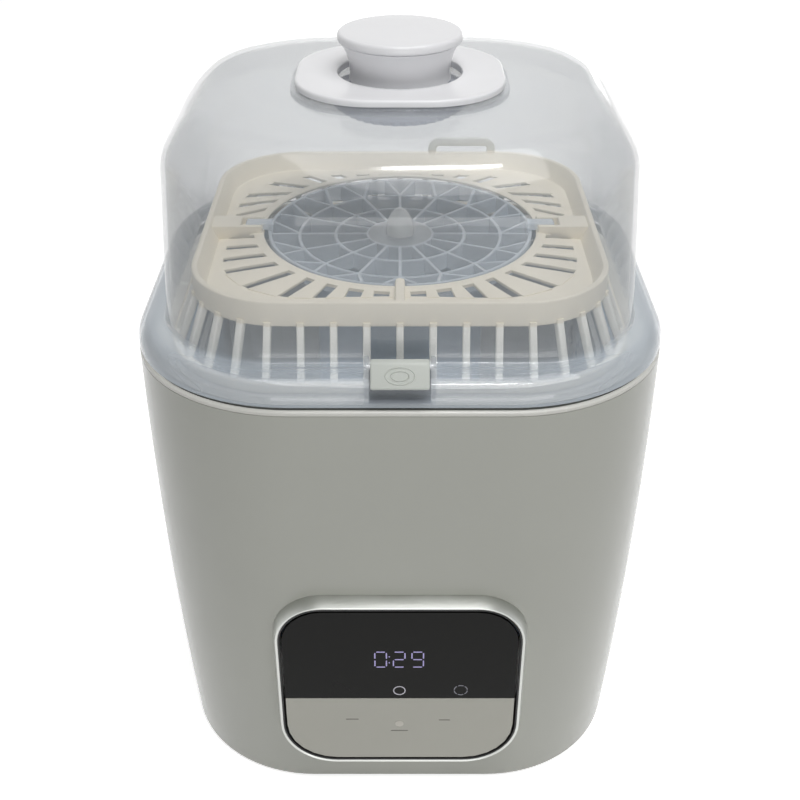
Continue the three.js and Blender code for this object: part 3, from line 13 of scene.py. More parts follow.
import bmesh
import bpy
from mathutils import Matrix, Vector


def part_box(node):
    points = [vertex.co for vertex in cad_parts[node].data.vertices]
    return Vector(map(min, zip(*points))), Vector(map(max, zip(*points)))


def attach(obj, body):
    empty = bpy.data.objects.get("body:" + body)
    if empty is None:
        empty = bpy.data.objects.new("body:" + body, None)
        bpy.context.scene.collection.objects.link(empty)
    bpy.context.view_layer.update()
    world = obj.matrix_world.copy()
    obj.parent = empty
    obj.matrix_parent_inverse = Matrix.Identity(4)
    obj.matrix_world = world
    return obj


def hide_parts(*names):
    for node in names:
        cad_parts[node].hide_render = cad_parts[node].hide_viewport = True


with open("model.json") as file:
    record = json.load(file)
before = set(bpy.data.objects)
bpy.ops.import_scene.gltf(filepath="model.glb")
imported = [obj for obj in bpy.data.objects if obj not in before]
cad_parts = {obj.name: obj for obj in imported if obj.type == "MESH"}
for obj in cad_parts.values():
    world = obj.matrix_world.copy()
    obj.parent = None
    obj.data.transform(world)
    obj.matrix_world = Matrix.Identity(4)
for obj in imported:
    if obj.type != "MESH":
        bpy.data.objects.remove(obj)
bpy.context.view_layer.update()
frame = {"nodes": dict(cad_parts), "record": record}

# %% [markdown]
# # Where a millimetre goes
# The maker's drawing gives every size in millimetres from the middle of the casing. Blender works in
# metres, and the CAD puts its origin under the middle of the whole object, a few millimetres away. One
# small function turns drawing places into Blender places, so each size below can be read as on the drawing.

# %% Drawing places
MM = 0.001
lid_low, lid_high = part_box("lid_dome")
CASING_MIDDLE_Y = (lid_low.y + lid_high.y) / 2 / MM


def place(x, y, z):
    return Vector((x, y + CASING_MIDDLE_Y, z)) * MM


def mix(start, end, share):
    return start + (end - start) * share


print("casing middle is at y =", round(CASING_MIDDLE_Y, 3), "mm")

# %% [markdown]
# # The camera
# The photograph looks down at the front from close by, so the object narrows strongly towards its foot. The
# lens, the height and the tilt were worked out by fitting a pinhole camera to the casing's rims. It stands
# in the middle plane, so it only tilts.

# %% Camera
CAMERA_Y = -561
CAMERA_Z = 510.7
CAMERA_TILT_DEGREES = 31.52
LENS_MM = 54.53
SENSOR_MM = 36


def add_object(name, data):
    """Puts a new object with the given camera, mesh or lamp in the scene."""
    made = bpy.data.objects.new(name, data)
    bpy.context.scene.collection.objects.link(made)
    return made


camera_data = bpy.data.cameras.new("camera")
camera_data.lens = LENS_MM
camera_data.sensor_width = SENSOR_MM
camera_data.sensor_fit = "HORIZONTAL"
camera = add_object("camera", camera_data)
camera.location = place(0, CAMERA_Y, CAMERA_Z)
camera.rotation_euler = (math.radians(90 - CAMERA_TILT_DEGREES), 0, 0)
bpy.context.scene.camera = camera
print("camera at", [round(c, 3) for c in camera.location])

# %% [markdown]
# # Rounded squares
# Nearly every moulded piece here is a rounded square in plan. Its outline is a ring of points that runs
# round four quarter circles, and the straight sides between them come by themselves. Every ring starts at
# the same place and has as many points, so that rings of different sizes can be joined.

# %% An outline
CORNER_STEPS = 14
FINE_CORNER_STEPS = 20
CORNER_SIDES = ((1, 1), (-1, 1), (-1, -1), (1, -1))


def corner_turns(steps):
    """The two signs of each corner with every angle of its quarter circle, anticlockwise from the right."""
    for quarter, sides in enumerate(CORNER_SIDES):
        for i in range(steps + 1):
            yield sides, math.pi / 2 * (quarter + i / steps)


def rounded_square(half_width, half_depth, corner, z, steps=CORNER_STEPS):
    """Points of a rounded square at one height."""
    return [(side_x * (half_width - corner) + corner * math.cos(angle),
             side_y * (half_depth - corner) + corner * math.sin(angle), z)
            for (side_x, side_y), angle in corner_turns(steps)]


print("an outline has", len(rounded_square(2, 2, 1, 0)), "points")

# %% [markdown]
# # A mesh from rings
# The simplest way to make such a piece is a loft: the same outline is drawn at several heights, each with
# its own size and corner, and faces join each ring to the next. A closed loft also joins its last ring to
# its first, and an open one gets a flat face at each end. Last, all faces are turned to look outward.

# %% Lofts
def loft_faces(ring_count, ring_size, closed, first):
    """Faces between rings of points, which are numbered from the first one on."""
    faces = []
    for i in range(ring_count if closed else ring_count - 1):
        low = first + i * ring_size
        high = first + (i + 1) % ring_count * ring_size
        for j in range(ring_size):
            after = (j + 1) % ring_size
            faces.append((low + j, low + after, high + after, high + j))
    if not closed:
        last = first + (ring_count - 1) * ring_size
        faces.append(tuple(reversed(range(first, first + ring_size))))
        faces.append(tuple(range(last, last + ring_size)))
    return faces


def make_mesh(name, shapes):
    """One mesh from several lofts, each given as (rings, closed), in millimetres on the drawing."""
    points, faces = [], []
    for rings, closed in shapes:
        faces += loft_faces(len(rings), len(rings[0]), closed, len(points))
        points += [place(*p) for ring in rings for p in ring]
    mesh = bpy.data.meshes.new(name)
    mesh.from_pydata(points, [], faces)
    made = bmesh.new()
    made.from_mesh(mesh)
    bmesh.ops.recalc_face_normals(made, faces=made.faces)
    made.to_mesh(mesh)
    made.free()
    return mesh


print("two joined squares have", len(loft_faces(2, 4, False, 0)), "faces")

# %% [markdown]
# # A piece of the model
# A finished piece says which moving body it rides on, which finish it takes, and which CAD pieces it stands
# for. Smooth shading hides the flat faces, and a sharp-edge angle keeps an edge crisp where two faces meet
# steeply.

# %% Pieces
SHARP_DEGREES = 38


def shade(mesh, sharp=SHARP_DEGREES):
    mesh.shade_smooth()
    mesh.set_sharp_from_angle(angle=math.radians(sharp))


def make_piece(name, shapes, body, finish, replaced=(), sharp=SHARP_DEGREES):
    mesh = make_mesh(name, shapes)
    piece = add_object(name, mesh)
    mesh.materials.append(finish)
    shade(mesh, sharp)
    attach(piece, body)
    if replaced:
        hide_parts(*replaced)
    print(name, len(mesh.vertices), "points", len(mesh.polygons), "faces")
    return piece


print("edges sharper than", SHARP_DEGREES, "degrees stay crisp")

# %% [markdown]
# # Rounded edges
# A mould can't make a knife-sharp edge, and the photograph shows a soft bright line along every rim. So a
# cross-section is written as a few corners, each with the radius that rounds it, and one function turns the
# corners into curves. A curve takes less than half of a side, so that two neighbours never cross.

# %% Rounded corners
ARC_STEPS = 3
LARGEST_SHARE = 0.49


def rounded(corners, closed=True, steps=ARC_STEPS):
    """Turns (across, height, radius) corners into points with each corner rounded."""
    points = []
    for i, (a, b, radius) in enumerate(corners):
        here = Vector((a, b))
        at_end = not closed and i in (0, len(corners) - 1)
        if radius == 0 or at_end:
            points.append((a, b))
            continue
        before = Vector(corners[i - 1][:2]) - here
        after = Vector(corners[(i + 1) % len(corners)][:2]) - here
        turn = before.angle(after) / 2
        back = min(radius / math.tan(turn), before.length * LARGEST_SHARE, after.length * LARGEST_SHARE)
        start, end = here + before.normalized() * back, here + after.normalized() * back
        for step in range(steps + 1):
            share = step / steps
            curved = (1 - share) ** 2 * start + 2 * share * (1 - share) * here + share**2 * end
            points.append((curved.x, curved.y))
    return points


print("a rounded corner has", ARC_STEPS + 1, "points")

# %% [markdown]
# # Three ways to carry a cross-section
# A rounded cross-section can be wrapped round an outline, as for a rim, or spun round an upright axis, as
# for the knob. A bar is the third way: a small cross-section that follows a path, with the directions of
# its width and its height given at each station.

# %% Wrap, spin and bar
SMALLEST = 0.01


def wrap(outline, profile, steps=CORNER_STEPS):
    """Rings of a rounded square, one for each (inset, z) point of a cross-section."""
    half_width, half_depth, corner = outline
    return [rounded_square(half_width - a, half_depth - a, max(corner - a, SMALLEST), z, steps)
            for a, z in profile]


def spin(profile, steps):
    """Rings round an upright axis, one for each (radius, z) point of a cross-section."""
    angles = [2 * math.pi * i / steps for i in range(steps)]
    rings = []
    for radius, z in profile:
        radius = max(radius, SMALLEST)
        rings.append([(radius * math.cos(a), radius * math.sin(a), z) for a in angles])
    return rings


def bar(stations, radius, steps=2):
    """Rings of a rounded bar through stations of (middle, first half side, second half side) vectors."""
    rings = []
    for middle, side, rise in stations:
        across, up = side.normalized(), rise.normalized()
        signs = ((-1, -1), (1, -1), (1, 1), (-1, 1))
        corners = [(a * side.length, b * rise.length, radius) for a, b in signs]
        rings.append([tuple(middle + across * a + up * b) for a, b in rounded(corners, steps=steps)])
    return rings


print("no outline is rounded by less than", SMALLEST, "mm")

# %% [markdown]
# # Numbers inside a finish
# A finish is a small network of nodes, and some kinds come again and again. A noise texture gives a number
# that drifts over the surface. It reads object coordinates, so it moves with its piece. A map range node
# moves a number from one range to another, and a power node turns a slow change into a steep one.

# %% Helpers for shader nodes
NOISE_LOW, NOISE_HIGH = 0.3, 0.7


def srgb(red, green, blue):
    """A screen colour, 0 to 255, as the linear colour that shaders use."""
    shares = [c / 255 for c in (red, green, blue)]
    linear = [c / 12.92 if c <= 10 / 255 else ((c + 0.055) / 1.055) ** 2.4 for c in shares]
    return (*linear, 1)


def shader_of(material):
    return material.node_tree.nodes["Principled BSDF"]


def remap(tree, value, low, high, from_low=0, from_high=1):
    """Moves a number from one range to another."""
    node = tree.nodes.new("ShaderNodeMapRange")
    for name, number in (("From Min", from_low), ("From Max", from_high), ("To Min", low), ("To Max", high)):
        node.inputs[name].default_value = number
    tree.links.new(value, node.inputs["Value"])
    return node.outputs["Result"]


def power(tree, value, exponent):
    node = tree.nodes.new("ShaderNodeMath")
    node.operation = "POWER"
    node.inputs[1].default_value = exponent
    tree.links.new(value, node.inputs[0])
    return node.outputs["Value"]


def noise(tree, scale, detail=2):
    coordinates = tree.nodes.new("ShaderNodeTexCoord")
    texture = tree.nodes.new("ShaderNodeTexNoise")
    texture.inputs["Scale"].default_value = scale
    texture.inputs["Detail"].default_value = detail
    tree.links.new(coordinates.outputs["Object"], texture.inputs["Vector"])
    return texture.outputs["Fac"]


def drifting(tree, scale, low, high):
    """A number that drifts between two values over the surface."""
    return remap(tree, noise(tree, scale), low, high, NOISE_LOW, NOISE_HIGH)


print("middle grey on screen is", round(srgb(128, 128, 128)[0], 3), "to a shader")

# %% [markdown]
# # Moulded plastic
# Most of this object is injection-moulded plastic. Three things tell the eye so: a colour that is almost
# even but drifts a little, a gloss that varies where hands have touched it, and a very faint unevenness of
# the skin, called orange peel. One recipe with noise gives all three.

# %% A recipe for plastic
GLOSS_DRIFT = 0.15
GLOSS_NOISE_FINER = 5
PEEL_HEIGHT = 0.0004
PEEL_DETAIL = 3


def plastic(name, colour, roughness, drift=0.04, peel=0.04, peel_scale=900, tone_scale=14):
    """Drift is how much the colour varies, peel is the strength of the skin's unevenness."""
    material = bpy.data.materials.new(name)
    material.use_nodes = True
    tree = material.node_tree
    shader = shader_of(material)
    blend = tree.nodes.new("ShaderNodeMix")
    blend.data_type = "RGBA"
    for end, change in (("A", 1 - drift), ("B", 1 + drift)):
        blend.inputs[end].default_value = (*[min(c * change, 1) for c in colour[:3]], 1)
    tree.links.new(drifting(tree, tone_scale, 0, 1), blend.inputs["Factor"])
    tree.links.new(blend.outputs["Result"], shader.inputs["Base Color"])
    low, high = roughness * (1 - GLOSS_DRIFT), roughness * (1 + GLOSS_DRIFT)
    tree.links.new(drifting(tree, tone_scale * GLOSS_NOISE_FINER, low, high), shader.inputs["Roughness"])
    bump = tree.nodes.new("ShaderNodeBump")
    bump.inputs["Strength"].default_value = peel
    bump.inputs["Distance"].default_value = PEEL_HEIGHT
    tree.links.new(noise(tree, peel_scale, PEEL_DETAIL), bump.inputs["Height"])
    tree.links.new(bump.outputs["Normal"], shader.inputs["Normal"])
    return material


casing_grey = plastic("casing grey", srgb(169, 170, 162), 0.2, drift=0.015, peel=0.02, peel_scale=70)
rim_grey = plastic("rim light grey", srgb(207, 206, 200), 0.25)
cream = plastic("tray cream", srgb(241, 233, 215), 0.42, drift=0.03, peel=0.05)
# A paler cream for the ribs and the loop: painted light, for the light that they catch.
cream_painted_light = plastic("cream, painted light", srgb(250, 249, 242), 0.4, drift=0.02)
# The bottle basket is grey instead of cream: painted shade, for its place in shadow under the tray.
basket_painted_shade = plastic("basket pale grey, painted shade", srgb(186, 190, 190), 0.45, drift=0.03)
knob_white = plastic("knob white", srgb(236, 236, 238), 0.2, drift=0.015, peel=0.03)
latch_grey = plastic("latch grey", srgb(196, 200, 194), 0.5, drift=0.02, peel=0.12, peel_scale=2500)
tub_blue = plastic("tub blue-grey", srgb(186, 206, 226), 0.3)
dark_plastic = plastic("inner dark plastic", srgb(40, 42, 44), 0.5, peel=0.1)
gasket_black = plastic("gasket black", srgb(24, 24, 24), 0.6, peel=0)
# A dark grey for the strip on the light ring: painted shadow of the seam under the skirt.
seam_shadow_grey = plastic("painted seam shadow", srgb(52, 54, 50), 0.6, peel=0)
rubber = plastic("foot rubber", srgb(44, 46, 46), 0.8, drift=0.1, peel=0.3, peel_scale=1800)
silicone = plastic("seal silicone", srgb(216, 214, 206), 0.55, drift=0.03)
print("materials in the file:", len(bpy.data.materials))

# %% [markdown]
# # The shine on see-through plastic
# A smooth wall mirrors a little of the room when it is looked at head-on, and much more at a glancing
# angle. So a glossy coat is mixed over the plastic, by a share that grows steeply towards the silhouette.
# Light that casts shadows passes it, and the inner faces have none, because two coats would shine twice.

# %% A mirror-like coat
COAT_HEAD_ON, COAT_EDGE_ON, COAT_STEEPNESS = 0.04, 0.45, 5


def unless(tree, off_when, value):
    """The value, or 0 where off_when is 1."""
    switch = tree.nodes.new("ShaderNodeMix")
    tree.links.new(off_when, switch.inputs["Factor"])
    tree.links.new(value, switch.inputs["A"])
    return switch.outputs["Result"]


def add_coat(tree, material, facing, is_shadow, roughness):
    is_inside = tree.nodes.new("ShaderNodeNewGeometry").outputs["Backfacing"]
    share = remap(tree, power(tree, facing, COAT_STEEPNESS), COAT_HEAD_ON, COAT_EDGE_ON)
    share = unless(tree, is_inside, unless(tree, is_shadow, share))
    coat = tree.nodes.new("ShaderNodeBsdfGlossy")
    coat.inputs["Roughness"].default_value = roughness
    both = tree.nodes.new("ShaderNodeMixShader")
    tree.links.new(share, both.inputs["Fac"])
    tree.links.new(shader_of(material).outputs["BSDF"], both.inputs[1])
    tree.links.new(coat.outputs["BSDF"], both.inputs[2])
    tree.links.new(both.outputs["Shader"], tree.nodes["Material Output"].inputs["Surface"])


print("the coat mirrors", COAT_HEAD_ON, "head-on and", COAT_EDGE_ON, "at the silhouette")

# %% [markdown]
# # See-through plastic
# The dome is polypropylene: it lets the tray show but veils it in pale grey. Real light scattering inside a
# thin wall is slow and noisy to compute, so the wall is part clear, part pale skin. Looked at edge-on, a
# wall hides more of what is behind it, so the share that is skin grows towards the silhouette, through
# Layer Weight. It can also grow towards the piece's foot, where the photograph shows the dome a little
# hazier.

# %% A recipe for frosted and clear plastic
def see_through(name, colour, roughness, facing_alpha, edge_alpha, falloff=1.5, foot=(0, 1, 0), **peel):
    """Plastic that hides from facing_alpha to edge_alpha, and more at its foot: (low z, high z, alpha)."""
    material = plastic(name, colour, roughness, drift=0.02, **peel)
    tree = material.node_tree
    facing = tree.nodes.new("ShaderNodeLayerWeight").outputs["Facing"]
    is_shadow = tree.nodes.new("ShaderNodeLightPath").outputs["Is Shadow Ray"]
    split = tree.nodes.new("ShaderNodeSeparateXYZ")
    tree.links.new(tree.nodes.new("ShaderNodeTexCoord").outputs["Object"], split.inputs["Vector"])
    low, high, foot_alpha = foot
    skin = remap(tree, power(tree, facing, falloff), facing_alpha, edge_alpha)
    haze = remap(tree, split.outputs["Z"], foot_alpha, 0, low * MM, high * MM)
    both = tree.nodes.new("ShaderNodeMath")
    both.use_clamp = True
    tree.links.new(skin, both.inputs[0])
    tree.links.new(haze, both.inputs[1])
    alpha = unless(tree, is_shadow, both.outputs["Value"])
    tree.links.new(alpha, shader_of(material).inputs["Alpha"])
    add_coat(tree, material, facing, is_shadow, roughness)
    return material


DOME_HAZE = (251, 263, 0.1)
frosted = see_through("dome frosted", srgb(176, 182, 187), 0.08, 0.16, 0.4, 1, DOME_HAZE, peel=0.01)
skirt_frosted = see_through("skirt frosted", srgb(194, 203, 211), 0.08, 0.28, 0.8, peel=0.01)
# The pocket's darker finish is painted shade from the latch.
pocket_painted_shade = see_through("pocket frosted, painted shade", srgb(158, 164, 172), 0.2, 0.7, 0.9, peel=0.01)
clear = see_through("rack clear", srgb(208, 218, 227), 0.1, 0.45, 0.95)
disc_clear = see_through("rack disc clear", srgb(158, 166, 172), 0.2, 0.55, 0.9)
cone_clear = see_through("rack cone clear", srgb(228, 230, 230), 0.25, 0.75, 0.95)
boss_clear = see_through("boss clear", srgb(208, 214, 234), 0.2, 0.75, 0.95)
print("materials in the file:", len(bpy.data.materials))

# %% [markdown]
# # Metal, glass and paper
# The last finishes are small: a satin silver plating on the panel's frame, two printed glasses, brushed
# steel and brass for the works inside, a green board, and the filter's paper. The window's glass mirrors
# less than plain glass, because the photograph shows it almost black.

# %% Metals, glasses and the rest
WINDOW_MIRROR = 0.12


def metal(name, colour, roughness, streak=0.15):
    material = plastic(name, colour, roughness, drift=0.05, peel=streak, peel_scale=1500)
    shader_of(material).inputs["Metallic"].default_value = 1
    return material


silver = metal("bezel silver", srgb(192, 194, 190), 0.34, 0)
steel = metal("steel", srgb(200, 202, 204), 0.25)
brass = metal("brass", srgb(190, 160, 105), 0.3)
dark_glass = plastic("window glass", srgb(18, 18, 16), 0.06, drift=0.1, peel=0)
shader_of(dark_glass).inputs["Specular IOR Level"].default_value = WINDOW_MIRROR
grey_glass = plastic("touch glass", srgb(170, 169, 159), 0.12, drift=0.02, peel=0)
board_green = plastic("circuit board", srgb(38, 92, 62), 0.45, drift=0.12, tone_scale=90)
paper = plastic("filter paper", srgb(232, 234, 229), 0.9, drift=0.05, peel=0.5, peel_scale=700)
print("materials in the file:", len(bpy.data.materials))

# %% [markdown]
# # The casing
# The casing is one deep moulding, wider at the top, with walls that swell by a few millimetres half way up.
# It is a plain loft of rounded squares whose size follows a straight taper plus a parabola. The rings go up
# the outside and come down the inside.

# %% Casing wall
TOP_SQUARE = (124.5, 120, 76)
FOOT_SQUARE = (115.5, 113.5, 70)
FOOT_Z, CASING_TOP_Z = 1.2, 234
FOOT_ROUND, FOOT_EDGE_HEIGHT, WALL_START_HEIGHT = 1.2, 3, 4
BULGE = 2.5
LIGHT_RING_HEIGHT = 2.4
WALL = 3
WALL_RINGS = 18


def casing_square(z, inset=0):
    """Half width, half depth and corner of the casing at a height, drawn in by an inset."""
    share = (z - FOOT_Z) / (CASING_TOP_Z - FOOT_Z)
    swell = BULGE * 4 * share * (1 - share) - inset
    return [mix(foot, top, share) + swell for foot, top in zip(FOOT_SQUARE, TOP_SQUARE)]


def casing_ring(z, inset=0):
    return rounded_square(*casing_square(z, inset), z, FINE_CORNER_STEPS)


foot_edge = rounded([(WALL, FOOT_Z, 0), (0, FOOT_Z, FOOT_ROUND), (0, FOOT_Z + FOOT_EDGE_HEIGHT, 0)],
                    closed=False)
wall_low_z, wall_top_z = FOOT_Z + WALL_START_HEIGHT, CASING_TOP_Z - LIGHT_RING_HEIGHT
wall_heights = [mix(wall_low_z, wall_top_z, i / WALL_RINGS) for i in range(WALL_RINGS + 1)]
casing_rings = [casing_ring(z, inset) for inset, z in foot_edge]
casing_rings += [casing_ring(z) for z in wall_heights]
casing_rings += [casing_ring(z, WALL) for z in reversed(wall_heights)]
casing = make_piece("casing_wall", [(casing_rings, True)], "base", casing_grey, ["base_shell"])

# %% [markdown]
# # Windows in the wall
# The control panel, the air filter and the mains inlet sit in openings of the wall. A boolean cuts each
# opening with a block, which is quicker and cleaner than drawing the wall's mesh round every window. The
# modifier's result is kept as the piece's own mesh, and the block is thrown away.

# %% Cutting one thing out of another
def cut_out_object(piece, cutter):
    """Cuts one closed object out of a piece and throws the cutter away."""
    modifier = piece.modifiers.new("cut", "BOOLEAN")
    modifier.operation = "DIFFERENCE"
    modifier.solver = "EXACT"
    modifier.object = cutter
    result = bpy.data.meshes.new_from_object(piece.evaluated_get(bpy.context.evaluated_depsgraph_get()))
    piece.modifiers.clear()
    whole_mesh, cutter_mesh, name = piece.data, cutter.data, piece.data.name
    piece.data = result
    bpy.data.objects.remove(cutter)
    bpy.data.meshes.remove(cutter_mesh)
    bpy.data.meshes.remove(whole_mesh)
    result.name = name
    shade(result)


def cut_out(piece, shapes):
    """Cuts closed shapes out of a piece, one after another."""
    for shape in shapes:
        cut_out_object(piece, add_object("cutter", make_mesh("cutter", [shape])))
    print(piece.name, "cut", len(shapes), "times:", len(piece.data.polygons), "faces")


print("faces before cutting:", len(casing.data.polygons))

# %% [markdown]
# # The outline of the panel
# The panel lies on the front wall, which leans. Its outline is a rounded rectangle, rounder at the bottom
# than at the top, and each point stands off the wall's own face at that height. So one function serves the
# opening, the frame and the gasket.

# %% Panel outline
PANEL_TOP, PANEL_BOTTOM, PANEL_HALF_WIDTH = 131.6, 19.5, 62
PANEL_TOP_CORNER, PANEL_BOTTOM_CORNER = 24.8, 29.8
face_top, face_bottom = casing_square(PANEL_TOP)[1], casing_square(PANEL_BOTTOM)[1]


def front_face(z):
    """How far the front wall stands from the casing's middle, as if it were straight behind the panel."""
    return mix(face_bottom, face_top, (z - PANEL_BOTTOM) / (PANEL_TOP - PANEL_BOTTOM))


def panel_ring(outward, inset, steps=10):
    """The panel's outline, drawn in by an inset and standing so far proud of the front wall."""
    points = []
    top, bottom, side = PANEL_TOP - inset, PANEL_BOTTOM + inset, PANEL_HALF_WIDTH - inset
    for (side_x, side_z), angle in corner_turns(steps):
        corner = (PANEL_TOP_CORNER if side_z > 0 else PANEL_BOTTOM_CORNER) - inset
        centre_z = top - corner if side_z > 0 else bottom + corner
        x, z = side_x * (side - corner) + corner * math.cos(angle), centre_z + corner * math.sin(angle)
        points.append((x, -(front_face(z) + outward), z))
    return points


print("the front wall leans by", round(face_top - face_bottom, 2), "mm over the panel")

# %% [markdown]
# # Three openings
# The panel's opening follows its outline right through the front wall. The two at the rear are rounded
# blocks, level with the parts that fill them, whose places come from the CAD model.

# %% Cut the openings
PANEL_CUT_OUTWARD, PANEL_CUT_INWARD, PANEL_CUT_INSET = 12, -20, 0.1
REAR_CUT = (80, 140)
FILTER_OPENING = (30.4, 32.4, 9.4)
INLET_OPENING = (12.4, 9.4, 4.4)
REAR_CORNER_STEPS = 4


def rear_opening(node, half_x, half_z, corner):
    """A rounded block through the rear wall, level with the middle of a node's box."""
    low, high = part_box(node)
    middle_x, middle_z = (low.x + high.x) / 2 / MM, (low.z + high.z) / 2 / MM
    ring = rounded_square(half_x, half_z, corner, 0, REAR_CORNER_STEPS)
    return [[(middle_x + x, y, middle_z + z) for x, z, _ in ring] for y in REAR_CUT], False


cut_out(casing, [
    ([panel_ring(outward, PANEL_CUT_INSET) for outward in (PANEL_CUT_OUTWARD, PANEL_CUT_INWARD)], False),
    rear_opening("filter_cover", *FILTER_OPENING),
    rear_opening("cord_inlet", *INLET_OPENING),
])

# %% [markdown]
# # The light ring on the casing
# A lighter ring closes the casing's top edge. Its chamfered lip catches the light as a bright line. A dark
# strip on it, a painted shadow, shows as a thin seam under the lid's skirt. Both are cross-sections wrapped
# round the casing's outline.

# %% Light ring and painted seam shadow
ring_profile = rounded([
    (0.3, 231.6, 0), (0, 231.9, 0.2), (0, 233.2, 0.4), (0.9, 234, 0.5), (8.5, 234, 0.5), (21.5, 234, 0.6),
    (21.5, 231.4, 0.5), (5.4, 231.4, 0), (5.4, 222.6, 0), (3.2, 222.6, 0), (3.2, 231.6, 0)])
make_piece("light_ring", [(wrap(TOP_SQUARE, ring_profile, FINE_CORNER_STEPS), True)], "base",
           rim_grey, ["top_frame"])
# A dark strip on the light ring, a painted shadow, makes the seam under the skirt.
seam_shadow_profile = rounded([(1.7, 233.8, 0), (1.7, 234.5, 0.2), (5.3, 234.5, 0.2), (5.3, 233.8, 0)], steps=2)
make_piece("painted_seam_shadow", [(wrap(TOP_SQUARE, seam_shadow_profile, FINE_CORNER_STEPS), True)], "base",
           seam_shadow_grey)

# %% [markdown]
# # The panel's frame
# The frame stands almost 8 mm proud of the wall, with drafted sides so that it leaves its mould. Its front
# edge is a thin polished bead, and a black gasket lies between it and the glass. Each cross-section is
# written as how far it stands out and how far it is drawn in, then carried round the panel's outline.

# %% Panel frame and gasket
PANEL_PROUD = 7.8
FRAME_CORNER_STEPS = 14
frame_profile = rounded([
    (-6, 0.6, 0), (-0.4, 0.1, 0), (PANEL_PROUD, 1.9, 0.5), (PANEL_PROUD, 2.4, 0.3), (7.3, 3.1, 0.2),
    (-6, 3.3, 0)])
gasket_profile = rounded([(6, 3, 0), (7.45, 3.1, 0.2), (7.45, 3.9, 0.2), (6, 4, 0)], steps=2)


def panel_loop(profile):
    """A closed loft of (outward, inset) points taken round the panel."""
    return [panel_ring(outward, inset, FRAME_CORNER_STEPS) for outward, inset in profile], True


make_piece("panel_frame", [panel_loop(frame_profile)], "base", silver, ["panel_bezel"])
make_piece("panel_gasket", [panel_loop(gasket_profile)], "base", gasket_black)

# %% [markdown]
# # Drawing on the glass
# The display and the touch marks are flat shapes on the panel's glass. Each is a plate about a tenth of a
# millimetre thick, lofted from an outline on the leaning face. A stroke is a thin lozenge, like a segment
# of a digit, and a ring is made of short bent strips.

# %% Flat marks
GLASS_FRONT = PANEL_PROUD - 0.6
MARK_LIFTS = (0.01, 0.12)
RING_STEP_DEGREES = 15


def glass_shape(outline):
    """A thin plate on the glass with the given outline of (x, z) points."""
    return [[(x, -(front_face(z) + GLASS_FRONT + lift), z) for x, z in outline] for lift in MARK_LIFTS], False


def stroke(start, end, width, gap=0.0):
    """A lozenge-ended stroke from one (x, z) point to another, shortened by a gap at both ends."""
    start, end = Vector(start), Vector(end)
    along = (end - start).normalized()
    start, end = start + along * gap, end - along * gap
    half = Vector((-along.y, along.x)) * width / 2
    tip = along * width / 2
    corners = (start, start + tip - half, end - tip - half, end, end - tip + half, start + tip + half)
    return glass_shape([tuple(corner) for corner in corners])


def glass_ring(x, z, radius, width, arcs):
    """Strips of a ring on the glass, each given by its start and end in degrees."""
    shapes = []
    for start, end in arcs:
        steps = max(2, int((end - start) / RING_STEP_DEGREES))
        angles = [math.radians(mix(start, end, i / steps)) for i in range(steps + 1)]
        outer = [(x + radius * math.cos(a), z + radius * math.sin(a)) for a in angles]
        inner = [(x + (radius - width) * math.cos(a), z + (radius - width) * math.sin(a)) for a in angles]
        shapes.append(glass_shape(outer + inner[::-1]))
    return shapes


def spot(x, z, half_size, corner, steps):
    """A small rounded spot on the glass."""
    ring = rounded_square(half_size, half_size, corner, 0, steps)
    return glass_shape([(x + across, z + up) for across, up, _ in ring])


print("the glass stands", round(GLASS_FRONT, 1), "mm proud of the wall")

# %% [markdown]
# # Lit digits
# The display shows a time behind the dark glass. The digits come from a table of which of the seven
# segments each one lights. Lit segments look flat, so they give a little light of their own instead of a
# highlight.

# %% Digits
DIGIT_WIDTH, DIGIT_HEIGHT, DIGIT_PITCH, DIGIT_LOW_Z, DIGIT_LEFT_X = 5.6, 10.2, 9, 90.5, -12.2
SEGMENT_WIDTH, SEGMENT_GAP = 0.62, 0.55
COLON_X, COLON_HEIGHTS, COLON_HALF_SIZE, COLON_CORNER = -5.2, (93.5, 97.5), 0.35, 0.3
SEGMENTS = {
    "top": ((0, 1), (1, 1)), "top_left": ((0, 0.5), (0, 1)), "top_right": ((1, 0.5), (1, 1)),
    "middle": ((0, 0.5), (1, 0.5)), "low_left": ((0, 0), (0, 0.5)), "low_right": ((1, 0), (1, 0.5)),
    "bottom": ((0, 0), (1, 0)),
}
LIT = {
    "0": ["top", "top_left", "top_right", "low_left", "low_right", "bottom"],
    "2": ["top", "top_right", "middle", "low_left", "bottom"],
    "9": ["top", "top_left", "top_right", "middle", "low_right", "bottom"],
}


def glowing(name, colour, strength):
    material = plastic(name, colour, 0.4, peel=0)
    shader_of(material).inputs["Emission Color"].default_value = colour
    shader_of(material).inputs["Emission Strength"].default_value = strength
    return material


digit_shapes = []
for i, digit in enumerate("029"):
    left = DIGIT_LEFT_X + i * DIGIT_PITCH
    for name in LIT[digit]:
        ends = [(left + a * DIGIT_WIDTH, DIGIT_LOW_Z + b * DIGIT_HEIGHT) for a, b in SEGMENTS[name]]
        digit_shapes.append(stroke(*ends, SEGMENT_WIDTH, SEGMENT_GAP))
digit_shapes += [spot(COLON_X, z, COLON_HALF_SIZE, COLON_CORNER, 2) for z in COLON_HEIGHTS]
digit_light = glowing("digit light", srgb(158, 150, 196), 0.3)
make_piece("display_digits", digit_shapes, "base", digit_light)

# %% [markdown]
# # Touch marks
# Two small rings in the window and four marks on the grey glass show where to touch. The left ring is whole
# and brighter, and the right one is dashed and dim. The marks on the grey glass are printed, so they give
# no light.

